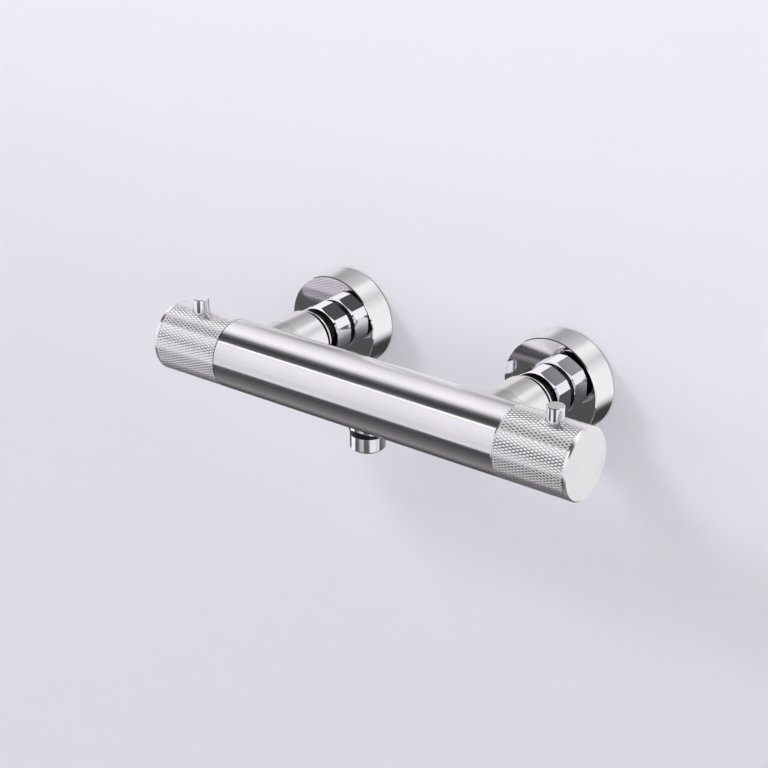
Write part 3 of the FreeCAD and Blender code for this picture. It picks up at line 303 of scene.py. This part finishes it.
def satin_finish(name, roughness):
    """Satin nickel: grain round the bar, and round each stub where the point lies off the bar; the stubs'
    paler tone is painted light.
    """
    made, tree, shader, place = start_material(name, 1.0)
    split = add(tree, "ShaderNodeSeparateXYZ", {0: place})
    behind = calc(tree, "SUBTRACT", split.outputs["Y"], BAR_Y)
    on_stub = grade(tree, behind, STUB_FROM, STUB_TO)
    girth = grain_of(tree, place, (2600, 40, 40))
    stub = grain_of(tree, place, (40, 2600, 40))
    marks = blend_value(tree, on_stub, girth, stub)
    cloud = smudges_of(tree, place, 28.0)
    # Painted light: where the point lies on a stub the colour is paler than on the bar.
    plain = blend_colour(tree, on_stub, BAR_LIGHT, STUB_PAINTED_LIGHT)
    stained = blend_colour(tree, on_stub, BAR_DARK, STUB_PAINTED_LIGHT_STAINED)
    tree.links.new(blend_colour(tree, cloud, plain, stained), shader.inputs["Base Color"])
    rough = calc(tree, "ADD", blend_value(tree, marks, roughness - 0.05, roughness + 0.05),
                 calc(tree, "MULTIPLY", cloud, 0.03))
    tree.links.new(rough, shader.inputs["Roughness"])
    tree.links.new(relief(tree, marks, 0.000004), shader.inputs["Normal"])
    return made


dress(satin_finish("satin_steel", 0.12), "valve_body")


# --- Outlet ----------------------------------------------------------------------------------------
# Short chromed tube screwed up into the bar, plain outside and chamfered at its mouth, where the
# shower hose screws on. Right under the bar its neck is painted near black, a painted shade and dark
# reflection, as between the nuts and stubs.

COLLAR_TOP = -0.0126
LINE_RADIUS = 0.0211          # the bright line ends this far from the bar's axis
LINE_LEFT = -0.005


def from_bar(tree, split):
    """Distance from the bar's axis."""
    return distance(tree, calc(tree, "SUBTRACT", split.outputs["Z"], BAR_Z),
                    calc(tree, "SUBTRACT", split.outputs["Y"], BAR_Y))


def outlet_finish(name):
    """Chrome plate, painted near black on the neck above the collar as painted shade and dark reflection; a
    thin strip along the bar is left bright chrome.
    """
    made, tree, shader, place = start_material(name, 1.0)
    split = add(tree, "ShaderNodeSeparateXYZ", {0: place})
    line = calc(tree, "MULTIPLY", grade(tree, from_bar(tree, split), LINE_RADIUS + 0.0002, LINE_RADIUS),
                grade(tree, split.outputs["X"], LINE_LEFT - 0.002, LINE_LEFT))
    # Painted shade and dark reflection: above the collar the neck is coloured near black, except a thin strip
    # along the bar.
    painted_neck_shade = calc(tree, "MULTIPLY", grade(tree, split.outputs["Z"], COLLAR_TOP, COLLAR_TOP + 0.00015),
                calc(tree, "SUBTRACT", 1.0, line))
    swirl = grain_of(tree, place, (900, 900, 900))
    touch = smudges_of(tree, place, 45.0)
    plated = blend_colour(tree, touch, CHROME_LIGHT, CHROME_DARK)
    tree.links.new(blend_colour(tree, painted_neck_shade, plated, (0.035, 0.034, 0.037, 1)), shader.inputs["Base Color"])
    polish = calc(tree, "ADD", blend_value(tree, swirl, 0.10, 0.14), calc(tree, "MULTIPLY", touch, 0.02))
    tree.links.new(blend_value(tree, painted_neck_shade, polish, 0.3), shader.inputs["Roughness"])
    hollow = calc(tree, "SUBTRACT", calc(tree, "MULTIPLY", swirl, 0.01), painted_neck_shade)
    tree.links.new(relief(tree, hollow, 0.0002), shader.inputs["Normal"])
    return made


dress(outlet_finish("outlet_chrome_painted_shade"), "outlet_nipple")


# --- Waterway, cartridges and check valves ---------------------------------------------------------
# Moulded and turned pieces inside the bar: none of them shows on a closed valve, but each carries its
# own material.

black_plastic = soft_finish("black_plastic", (0.05, 0.05, 0.052, 1), (0.07, 0.07, 0.072, 1), 0.5, 0.00002,
                            0.5)
dress(black_plastic, "waterway_insert", "mixing_shuttle", "temperature_stop_ring", "flow_stop_ring",
      "temperature_handle_hub", "flow_handle_hub")

grey_plastic = soft_finish("grey_plastic", (0.36, 0.37, 0.38, 1), (0.31, 0.32, 0.33, 1), 0.45, 0.00002, 0.5)
dress(grey_plastic, "thermostat_housing", "hot_check_valve_poppet", "cold_check_valve_poppet")

white_plastic = soft_finish("white_plastic", (0.83, 0.83, 0.81, 1), (0.78, 0.78, 0.75, 1), 0.4, 0.00002, 0.5)
dress(white_plastic, "flow_cartridge_housing", "hot_check_valve_cage", "cold_check_valve_cage")

ceramic = soft_finish("white_ceramic", (0.88, 0.87, 0.84, 1), (0.84, 0.83, 0.80, 1), 0.18, 0.000004, 0.5)
dress(ceramic, "fixed_ceramic_disc", "moving_ceramic_disc")

copper = turned_metal("wax_copper", (0.72, 0.40, 0.26, 1), (0.55, 0.30, 0.20, 1), 0.3, (2000, 300, 300))
dress(copper, "wax_element")

spring_steel = turned_metal("spring_steel", (0.56, 0.56, 0.58, 1), (0.45, 0.45, 0.47, 1), 0.28,
                            (800, 800, 800))
dress(spring_steel, "overtravel_spring", "return_spring", "hot_check_valve_spring",
      "cold_check_valve_spring", "temperature_button_spring", "flow_button_spring",
      "temperature_hub_screw", "flow_hub_screw")


# --- Handle sleeves --------------------------------------------------------------------------------
# Stainless tube, turned, diamond knurled over its whole length and pierced for the push button. The
# knurl is 72 starts each way; its crests are left a little flat.

SLEEVE_FROM, SLEEVE_TO = 0.09418, 0.13625
SLEEVE_OUTER, SLEEVE_INNER = 0.020, 0.0176
KNURL_STARTS = 72
KNURL_STEPS = 6          # grid steps per knurl pitch, both ways
KNURL_ROWS = 60          # grid steps along the sleeve
KNURL_DEPTH = 0.00015
KNURL_CUT = 0.34         # height at which the crests are cut flat, of a whole wave
KNURL_BORDER = 0.0005
BORDER_DROP = 0.0001
BUTTON_X = 0.119
HOLE_RADIUS = 0.00493
HOLE_CHAMFER = 0.0002
CHAMFER_DEPTH = 0.00055
HOLE_BLOCK = 0.0062      # half-width of the block of the grid that is redrawn round the hole
HOLE_RINGS = 10


def knurl_height(along, turn):
    """Height from 0 in the grooves to 1 on the crests: the lower of two triangle waves, one per
    helical family, cut off at KNURL_CUT."""
    first = turn * KNURL_STARTS / (2 * math.pi) + along * KNURL_ROWS / KNURL_STEPS
    second = turn * KNURL_STARTS / (2 * math.pi) - along * KNURL_ROWS / KNURL_STEPS
    waves = [1 - 2 * np.abs(0.5 - (family % 1.0)) for family in (first, second)]
    return np.minimum(np.minimum(*waves), KNURL_CUT) / KNURL_CUT


def knurled_sleeve(side):
    """Closed shell of a sleeve on one side of the bar. Its skin is a grid of fraction along the sleeve
    and turn about the bar; a block of that grid round the button is redrawn as rings that run from the
    block's edge to the round hole. The bore repeats the same grid at the inner radius."""
    turns = KNURL_STARTS * KNURL_STEPS
    rows = np.arange(KNURL_ROWS + 1)
    columns = np.arange(turns)
    along, turn = np.meshgrid(rows / KNURL_ROWS, columns * 2 * math.pi / turns, indexing="ij")
    number = np.arange(along.size).reshape(along.shape)

    length = SLEEVE_TO - SLEEVE_FROM
    centre = (BUTTON_X - SLEEVE_FROM) / length
    half_rows = math.ceil(HOLE_BLOCK / length * KNURL_ROWS)
    low = round(centre * KNURL_ROWS) - half_rows
    high = round(centre * KNURL_ROWS) + half_rows
    wide = math.ceil(HOLE_BLOCK / SLEEVE_OUTER / (2 * math.pi) * turns)

    edge_rows = np.concatenate([np.full(2 * wide, low), np.arange(low, high), np.full(2 * wide, high),
                                np.arange(high, low, -1)])
    edge_columns = np.concatenate([np.arange(-wide, wide), np.full(high - low, wide),
                                   np.arange(wide, -wide, -1), np.full(high - low, -wide)])
    edge_along = edge_rows / KNURL_ROWS
    edge_turn = edge_columns * 2 * math.pi / turns
    bearing = np.arctan2(SLEEVE_OUTER * np.sin(edge_turn), (edge_along - centre) * length)

    def rim(radius):
        """Fraction along and turn of a circle round the button."""
        return (centre + radius * np.cos(bearing) / length,
                np.arcsin(radius * np.sin(bearing) / SLEEVE_OUTER))

    rim_along, rim_turn = rim(HOLE_RADIUS + HOLE_CHAMFER)
    share = np.linspace(0, 1, HOLE_RINGS + 1)[1:, None]
    ring_along = edge_along + (rim_along - edge_along) * share
    ring_turn = edge_turn + (rim_turn - edge_turn) * share
    ring_number = number.size + np.arange(ring_along.size).reshape(ring_along.shape)
    all_rings = np.vstack([number[edge_rows, edge_columns % turns][None], ring_number])

    flat_along = np.concatenate([along.ravel(), ring_along.ravel()])
    flat_turn = np.concatenate([turn.ravel(), ring_turn.ravel()])
    height = knurl_height(flat_along, flat_turn)
    from_end = np.minimum(flat_along, 1 - flat_along) * length
    plain = np.clip(1 - from_end / KNURL_BORDER, 0, 1)
    outer = SLEEVE_OUTER - KNURL_DEPTH * (1 - height) * (1 - plain) - BORDER_DROP * plain

    def points(radius, fraction, angle):
        """Points on a cylinder about the bar."""
        x = side * (SLEEVE_FROM + fraction * length)
        return np.stack([x, BAR_Y + radius * np.sin(angle), BAR_Z + radius * np.cos(angle)], axis=-1)

    skin = points(outer, flat_along, flat_turn)
    bore = points(np.full(outer.shape, SLEEVE_INNER), flat_along, flat_turn)
    in_along, in_turn = rim(HOLE_RADIUS)
    chamfer = points(np.full(in_along.shape, SLEEVE_OUTER - CHAMFER_DEPTH), in_along, in_turn)
    chamfer[:, 1] = BAR_Y + HOLE_RADIUS * np.sin(bearing)
    vertices = np.concatenate([skin, bore, chamfer])

    here = number[:-1]
    there = number[1:]
    after = np.roll(number, -1, axis=1)
    quads = np.stack([here, after[:-1], after[1:], there], axis=-1)
    row_of, column_of = np.meshgrid(rows[:-1], columns, indexing="ij")
    signed = (column_of + wide) % turns
    block = (row_of >= low) & (row_of < high) & (signed < 2 * wide)
    odd = (row_of + column_of) % KNURL_STEPS == KNURL_STEPS - 1
    cells = quads[~block]
    cross = odd[~block]
    triangles = np.concatenate([
        cells[~cross][:, [0, 1, 2]], cells[~cross][:, [0, 2, 3]],
        cells[cross][:, [0, 1, 3]], cells[cross][:, [1, 2, 3]]])
    ring_quads = np.stack([all_rings[:-1], all_rings[1:], np.roll(all_rings[1:], -1, axis=1),
                           np.roll(all_rings[:-1], -1, axis=1)], axis=-1).reshape(-1, 4)
    ring_faces = np.concatenate([ring_quads[:, [0, 1, 2]], ring_quads[:, [0, 2, 3]]])
    skin_faces = np.concatenate([triangles, ring_faces])
    bore_faces = skin_faces[:, ::-1] + len(skin)

    def strip(first, second):
        """Faces between two closed loops of vertex numbers."""
        ahead, beyond = np.roll(first, -1), np.roll(second, -1)
        return np.concatenate([np.stack([first, ahead, beyond], -1), np.stack([first, beyond, second], -1)])

    last = all_rings[-1]
    lip = len(skin) + len(bore) + np.arange(len(last))
    walls = [strip(number[0], number[0] + len(skin))[:, ::-1],
             strip(number[-1], number[-1] + len(skin)),
             strip(last, lip)[:, ::-1], strip(lip, last + len(skin))[:, ::-1]]
    faces = np.concatenate([skin_faces, bore_faces] + walls)
    if side > 0:
        faces = faces[:, ::-1]
    return vertices, faces


def make_piece(name, vertices, faces, material, smooth=True):
    """Mesh object at the origin from arrays of points and faces."""
    mesh = bpy.data.meshes.new(name)
    mesh.from_pydata(vertices.tolist(), [], faces.tolist())
    mesh.update()
    mesh.polygons.foreach_set("use_smooth", np.full(len(mesh.polygons), smooth))
    mesh.materials.append(material)
    made = bpy.data.objects.new(name, mesh)
    bpy.context.scene.collection.objects.link(made)
    return made


def knurl_finish(name):
    """Knurled steel: crests polished by the tool and by hands; grooves duller, and darker as grime and
    painted shade in the recesses.
    """
    made, tree, shader, place = start_material(name, 1.0)
    split = add(tree, "ShaderNodeSeparateXYZ", {0: place})
    radius = from_bar(tree, split)
    crest = grade(tree, radius, SLEEVE_OUTER - KNURL_DEPTH, SLEEVE_OUTER - KNURL_DEPTH * 0.2)
    marks = grain_of(tree, place, (2600, 60, 60))
    worn = smudges_of(tree, place, 90.0)
    # Grooves darker than crests: grime and painted shade in the recesses.
    tone = blend_colour(tree, crest, (0.62, 0.60, 0.625, 1), (0.93, 0.90, 0.935, 1))
    tree.links.new(tone, shader.inputs["Base Color"])
    rough = calc(tree, "ADD", blend_value(tree, crest, 0.26, 0.18), calc(tree, "MULTIPLY", worn, 0.05))
    tree.links.new(rough, shader.inputs["Roughness"])
    tree.links.new(relief(tree, marks, 0.00001), shader.inputs["Normal"])
    return made


knurled = knurl_finish("knurled_steel")
for control, side in (("temperature", -1), ("flow", 1)):
    sleeve = make_piece(f"{control}_knurled_sleeve", *knurled_sleeve(side), knurled, smooth=False)
    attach(sleeve, f"{control}_handle")
    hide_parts(f"{control}_handle_sleeve")


# --- End caps --------------------------------------------------------------------------------------
# Turned steel discs pressed into the sleeves. The face is finely faced off, and the narrow chamfer
# round it is polished bright.

FACE_RADIUS = 0.0192
RINGS_PER_METRE = 5200.0


def cap_finish(name):
    """Faced steel: fine rings on the flat, bright metal beyond the face's edge."""
    made, tree, shader, place = start_material(name, 1.0)
    split = add(tree, "ShaderNodeSeparateXYZ", {0: place})
    radius = from_bar(tree, split)
    rim = grade(tree, radius, FACE_RADIUS, FACE_RADIUS + 0.00015)
    rings = add(tree, "ShaderNodeCombineXYZ", {0: calc(tree, "MULTIPLY", radius, RINGS_PER_METRE)}).outputs[0]
    marks = add(tree, "ShaderNodeTexNoise", {"Vector": rings, "Scale": 1.0, "Detail": 2.0}).outputs[0]
    cloud = smudges_of(tree, place, 70.0)
    tree.links.new(blend_colour(tree, cloud, (0.93, 0.90, 0.94, 1), (0.89, 0.86, 0.90, 1)),
                   shader.inputs["Base Color"])
    faced = calc(tree, "ADD", blend_value(tree, marks, 0.26, 0.42), calc(tree, "MULTIPLY", cloud, 0.05))
    tree.links.new(blend_value(tree, rim, faced, 0.20), shader.inputs["Roughness"])
    height = calc(tree, "MULTIPLY", marks, calc(tree, "SUBTRACT", 1.0, rim))
    tree.links.new(relief(tree, height, 0.000006), shader.inputs["Normal"])
    return made


cap_steel = cap_finish("end_cap_steel")
dress(cap_steel, "temperature_handle_end_cap", "flow_handle_end_cap")


# --- Push buttons ----------------------------------------------------------------------------------
# Chromed round pins that stand out of the sleeves' holes, flat on top with a fine broken edge. Each
# slides in its handle's hub against a small spring.

dress(chrome, "temperature_push_button", "flow_push_button")


# --- Wall and floor --------------------------------------------------------------------------------
# Painted wall behind the valve, its colour paler upwards and to the right as painted light, and plain
# pale floor far below it. The wall is open to rays from behind, so that the back of the valve can be
# looked at.

def plain_sheet(name, corners, material):
    """Flat sheet with the given outline."""
    sheet = make_piece(name, np.array(corners, float), np.arange(len(corners))[None], material)
    return sheet


def paint(name, low, high, glow, see_through):
    """Matt paint, paler upwards and a little to the right as a painted light gradient, a little of it
    self-lit for the rays that show it as background."""
    made, tree, shader, place = start_material(name, 0.0, Roughness=0.9, **{"Specular IOR Level": 0.1})
    split = add(tree, "ShaderNodeSeparateXYZ", {0: place})
    side = grade(tree, split.outputs["X"], -0.45, 0.10, -0.25, 0.0)
    # Painted light: the colour grows paler upwards and towards the right.
    painted_light_gradient = calc(tree, "ADD", grade(tree, split.outputs["Z"], -0.26, 0.30), side)
    colour = blend_colour(tree, painted_light_gradient, low, high)
    tree.links.new(colour, shader.inputs["Base Color"])
    rays = add(tree, "ShaderNodeLightPath")
    shown = calc(tree, "MAXIMUM", rays.outputs["Is Camera Ray"],
                 calc(tree, "MAXIMUM", rays.outputs["Is Glossy Ray"], rays.outputs["Is Transmission Ray"]))
    shine = add(tree, "ShaderNodeEmission", {"Color": colour,
                                             "Strength": calc(tree, "MULTIPLY", shown, glow)})
    both = add(tree, "ShaderNodeAddShader", {0: shader.outputs[0], 1: shine.outputs[0]}).outputs[0]
    if see_through:
        behind = add(tree, "ShaderNodeNewGeometry").outputs["Backfacing"]
        clear = add(tree, "ShaderNodeBsdfTransparent")
        both = add(tree, "ShaderNodeMixShader", {0: behind, 1: both, 2: clear.outputs[0]}).outputs[0]
    tree.links.new(both, tree.nodes["Material Output"].inputs["Surface"])
    return made


WALL_Y, FLOOR_Z, CEILING_Z = 0.0001, -1.1, 8
ROOM_REACH = 12
LEFT, RIGHT, NEAR, FAR = -ROOM_REACH, ROOM_REACH, -ROOM_REACH, ROOM_REACH

wall_paint = paint("wall_paint", (0.656, 0.650, 0.694, 1), (0.785, 0.778, 0.830, 1), 0.38, True)
plain_sheet("wall", [(LEFT, WALL_Y, FLOOR_Z), (RIGHT, WALL_Y, FLOOR_Z), (RIGHT, WALL_Y, CEILING_Z),
                     (LEFT, WALL_Y, CEILING_Z)], wall_paint)
floor_paint = paint("floor_paint", (0.80, 0.80, 0.82, 1), (0.80, 0.80, 0.82, 1), 0.60, False)
plain_sheet("floor", [(LEFT, NEAR, FLOOR_Z), (RIGHT, NEAR, FLOOR_Z), (RIGHT, FAR, FLOOR_Z),
                      (LEFT, FAR, FLOOR_Z)], floor_paint)


# --- Studio light ----------------------------------------------------------------------------------
# Long soft panels parallel to the bar, with dark gaps between them. Cards on the floor and the wall
# carry the same bands on, where bare paint would wash the metal out; only mirror rays see them. A strip
# lamp is the key, and a smaller one high on the left throws the shadow.

BACKDROP = 0.82
DARK_PATCH = 0.08
BANDS = [(-180, 0.3), (-122, 0.08), (-107, 0.1),                 # dark below and behind
         (-92, 0.27), (-82, 0.25), (-62, 0.15), (-42, 0.08),     # floor, darker towards the front
         (-27.7, 0.08), (-27.2, 0.88), (0, 0.88), (40, 1.05),    # front panel
         (45, 1.0), (51, 0.1), (70, 0.05), (80, 0.2),            # gap above it
         (87, 0.8), (97, 1.15), (108, 1.1), (126, 0.85),         # panel over the wall
         (150, 0.3), (180, 0.3)]


def ramp(tree, angle, stops):
    """Level at an angle in radians, straight between stops of degrees and level."""
    turned = calc(tree, "ADD", calc(tree, "DIVIDE", angle, 2 * math.pi), 0.5)
    made = add(tree, "ShaderNodeValToRGB", {0: turned})
    elements = made.color_ramp.elements
    for _ in stops[2:]:
        elements.new(1.0)
    for element, (degrees, level) in zip(elements, stops):
        element.position = degrees / 360 + 0.5
        element.color = (level / 2, level / 2, level / 2, 1)
    return calc(tree, "MULTIPLY", made.outputs[0], 2.0)


def build_bands(tree, given, result):
    """Level: brightness at the angle of a direction above straight ahead, seen along the bar."""
    slope = calc(tree, "ARCTAN2", given["Up"], given["Ahead"])
    tree.links.new(ramp(tree, slope, BANDS), result["Level"])


band_group = make_group("studio_bands", [("Ahead", "VALUE"), ("Up", "VALUE")], [("Level", "VALUE")],
                        build_bands)


def bands_at(tree, ahead, up):
    """Level of the bands in a direction."""
    made = add(tree, "ShaderNodeGroup", {"Ahead": ahead, "Up": up}, node_tree=band_group)
    return made.outputs["Level"]


world = bpy.data.worlds.new("studio")
bpy.context.scene.world = world
world.use_nodes = True
sky = world.node_tree
aim = add(sky, "ShaderNodeSeparateXYZ", {0: add(sky, "ShaderNodeTexCoord").outputs["Generated"]})
level = bands_at(sky, calc(sky, "MULTIPLY", aim.outputs["Y"], -1.0), aim.outputs["Z"])
slope = calc(sky, "ARCTAN2", aim.outputs["Z"], calc(sky, "MULTIPLY", aim.outputs["Y"], -1.0))
beyond = calc(sky, "MULTIPLY", grade(sky, slope, math.radians(32), math.radians(41)),
              grade(sky, aim.outputs["X"], -0.35, -0.15))
level = blend_value(sky, beyond, level, DARK_PATCH)
seen = add(sky, "ShaderNodeLightPath").outputs["Is Camera Ray"]
sky.links.new(blend_value(sky, seen, level, BACKDROP), sky.nodes["Background"].inputs["Strength"])
sky.nodes["Background"].inputs["Color"].default_value = (1.0, 1.0, 1.01, 1)


def card_surface(name, level_at):
    """Surface of a studio card that only mirrors see; level_at gives its level from its place."""
    made = bpy.data.materials.new(name)
    made.use_nodes = True
    tree = made.node_tree
    tree.nodes.remove(tree.nodes["Principled BSDF"])
    place = add(tree, "ShaderNodeSeparateXYZ", {0: add(tree, "ShaderNodeTexCoord").outputs["Object"]})
    glow = add(tree, "ShaderNodeEmission", {"Strength": level_at(tree, place)})
    tree.links.new(glow.outputs[0], tree.nodes["Material Output"].inputs["Surface"])
    return made


def bands_about_bar(tree, place):
    """Bands at the place's angle about the bar."""
    return bands_at(tree, calc(tree, "SUBTRACT", BAR_Y, place.outputs["Y"]),
                    calc(tree, "SUBTRACT", place.outputs["Z"], BAR_Z))


RING = [(-120, 0.55), (-87, 0.75), (-67, 0.75),          # light
        (-55, 0.4), (-47, 0.4), (-28, 0.6),              # grey streak
        (-22, 0.9), (-17, 0.9), (-5, 0.65),              # light, then a second grey streak
        (8, 0.9), (38, 0.9), (44, 0.6), (49, 0.15),      # broad light
        (53, 0.05), (73, 0.05), (85, 0.2), (120, 0.3)]   # dark
RING_MIDDLE = math.radians(52.4)
RING_SPLIT = 0.008            # left of it the left inlet's streaks, right of it the right one's
FLANGE_RADIUS = 0.02975


def bands_round_inlet(tree, place):
    """Streaks that run out from each flange: the angle about the inlet, from the ring's middle, is
    drawn in by distance / (2 distance - flange radius), as a mirror of that radius spreads it."""
    right = calc(tree, "GREATER_THAN", place.outputs["X"], RING_SPLIT)
    across = calc(tree, "SUBTRACT", place.outputs["X"],
                  calc(tree, "SUBTRACT", calc(tree, "MULTIPLY", right, 2 * INLET_X), INLET_X))
    up = calc(tree, "SUBTRACT", place.outputs["Z"], BAR_Z)
    far = distance(tree, across, up)
    turned = calc(tree, "SUBTRACT", calc(tree, "ARCTAN2", across, up), RING_MIDDLE)
    wrapped = calc(tree, "WRAP", turned, math.pi, -math.pi)
    drawn = calc(tree, "DIVIDE", far, calc(tree, "SUBTRACT", calc(tree, "MULTIPLY", far, 2.0), FLANGE_RADIUS))
    return ramp(tree, calc(tree, "MULTIPLY", wrapped, drawn), RING)


def plain_level(level):
    """Same level all over."""
    return lambda tree, place: level


studio_card = card_surface("studio_card", bands_about_bar)
ring_card = card_surface("studio_ring_card", bands_round_inlet)
white_card = card_surface("studio_white_card", plain_level(0.85))
black_card = card_surface("studio_black_card", plain_level(0.09))
CARD_Y, CARD_Z = -0.0008, FLOOR_Z + 0.005
FRONT_Z = CARD_Z + 0.002
RING_FOOT, RING_TOP, RING_REACH = -0.065, 0.090, 0.155
for name, material, corners in (
        ("card_below", studio_card,
         [(-1.5, CARD_Y, CARD_Z), (-1.5, -0.7, CARD_Z), (-1.62, -1.15, CARD_Z), (-1.80, -1.6, CARD_Z),
          (-1.95, -1.95, CARD_Z), (-1.95, -4.0, CARD_Z), (1.62, -4.0, CARD_Z), (1.62, CARD_Y, CARD_Z)]),
        ("card_in_front", black_card,
         [(0.45, -1.90, FRONT_Z), (0.45, -2.48, FRONT_Z), (-0.95, -2.46, FRONT_Z),
          (-0.95, -2.80, FRONT_Z), (0.90, -2.90, FRONT_Z), (1.30, -2.12, FRONT_Z),
          (1.55, -1.90, FRONT_Z)]),
        ("card_low_wall", studio_card,
         [(-2.45, CARD_Y, CARD_Z), (1.05, CARD_Y, CARD_Z), (0.26, CARD_Y, -0.184), (0.14, CARD_Y, RING_FOOT),
          (-RING_REACH, CARD_Y, RING_FOOT), (-1.0, CARD_Y, -0.40)]),
        ("card_high_wall", studio_card,
         [(-0.9, CARD_Y, RING_TOP), (0.9, CARD_Y, RING_TOP), (0.9, CARD_Y, 1.2), (-0.9, CARD_Y, 1.2)]),
        ("card_left_flange", ring_card,
         [(-RING_REACH, CARD_Y, RING_FOOT), (RING_SPLIT, CARD_Y, RING_FOOT), (RING_SPLIT, CARD_Y, RING_TOP),
          (-RING_REACH, CARD_Y, RING_TOP)]),
        ("card_right_flange", ring_card,
         [(RING_SPLIT, CARD_Y, RING_FOOT), (RING_REACH, CARD_Y, RING_FOOT), (RING_REACH, CARD_Y, RING_TOP),
          (RING_SPLIT, CARD_Y, RING_TOP)]),
        ("card_end_cap", white_card,
         [(RING_REACH, CARD_Y, -0.17), (0.40, CARD_Y, -0.17), (0.40, CARD_Y, RING_TOP),
          (RING_REACH, CARD_Y, RING_TOP)])):
    card = plain_sheet(name, corners, material)
    card.visible_camera = False
    card.visible_shadow = False
    card.visible_diffuse = False


def softbox(name, place, target, width, height, radiance):
    """Rectangular lamp that faces a target; its power follows from radiance times pi times area."""
    lamp = bpy.data.lights.new(name, "AREA")
    lamp.shape = "RECTANGLE"
    lamp.size = width
    lamp.size_y = height
    lamp.energy = radiance * math.pi * width * height
    made = bpy.data.objects.new(name, lamp)
    made.location = place
    made.rotation_mode = "QUATERNION"
    made.rotation_quaternion = (Vector(target) - Vector(place)).to_track_quat("-Z", "Y")
    bpy.context.scene.collection.objects.link(made)
    return made


KEY_X = -0.853
softbox("key_strip", (KEY_X, -0.925, 0.995), (KEY_X, BAR_Y, BAR_Z), 1.4, 0.085, 1.6)
shade_lamp = softbox("shade_lamp", (-1.93, -1.63, 2.03), (0, BAR_Y, BAR_Z), 0.7, 0.6, 23)
shade_lamp.visible_glossy = False


# --- Camera ----------------------------------------------------------------------------------------
# Long lens from the right and above, at the height and turn of the photograph; its frame is shifted
# so that the valve stands where it does there.

FRAME_PIXELS = 768
FOCAL_PIXELS = 1990.99
CENTRE_RIGHT, CENTRE_DOWN = 415.437, 368.3       # pixel that shows the target
SENSOR = 36
CAMERA_DISTANCE = 1.1111
azimuth, elevation, roll = (math.radians(angle) for angle in (35.776, 24.292, -0.49))
target = Vector((0, -0.040, BAR_Z))
away = Vector((math.sin(azimuth) * math.cos(elevation), -math.cos(azimuth) * math.cos(elevation),
               math.sin(elevation)))
right = Vector((math.cos(azimuth), math.sin(azimuth), 0))
above = away.cross(right)
straight = Matrix((right, above, -away))
rolled = Matrix(((math.cos(roll), -math.sin(roll), 0), (math.sin(roll), math.cos(roll), 0), (0, 0, 1)))
middle = FRAME_PIXELS / 2
sight = Vector((CENTRE_RIGHT - middle, middle - CENTRE_DOWN, FOCAL_PIXELS)).normalized()
shifted = Vector((0, 0, 1)).rotation_difference(sight).to_matrix()
rows = shifted @ rolled @ straight
axes = Matrix((rows[0], rows[1], -rows[2])).transposed()

camera_data = bpy.data.cameras.new("camera")
camera_data.sensor_width = SENSOR
camera_data.lens = FOCAL_PIXELS * SENSOR / FRAME_PIXELS
camera_data.clip_start = 0.01
camera_data.clip_end = 100
camera = bpy.data.objects.new("camera", camera_data)
camera.matrix_world = Matrix.LocRotScale(target + away * CAMERA_DISTANCE, axes.to_quaternion(), None)
bpy.context.scene.collection.objects.link(camera)
bpy.context.scene.camera = camera
bpy.context.scene.view_settings.view_transform = "Standard"
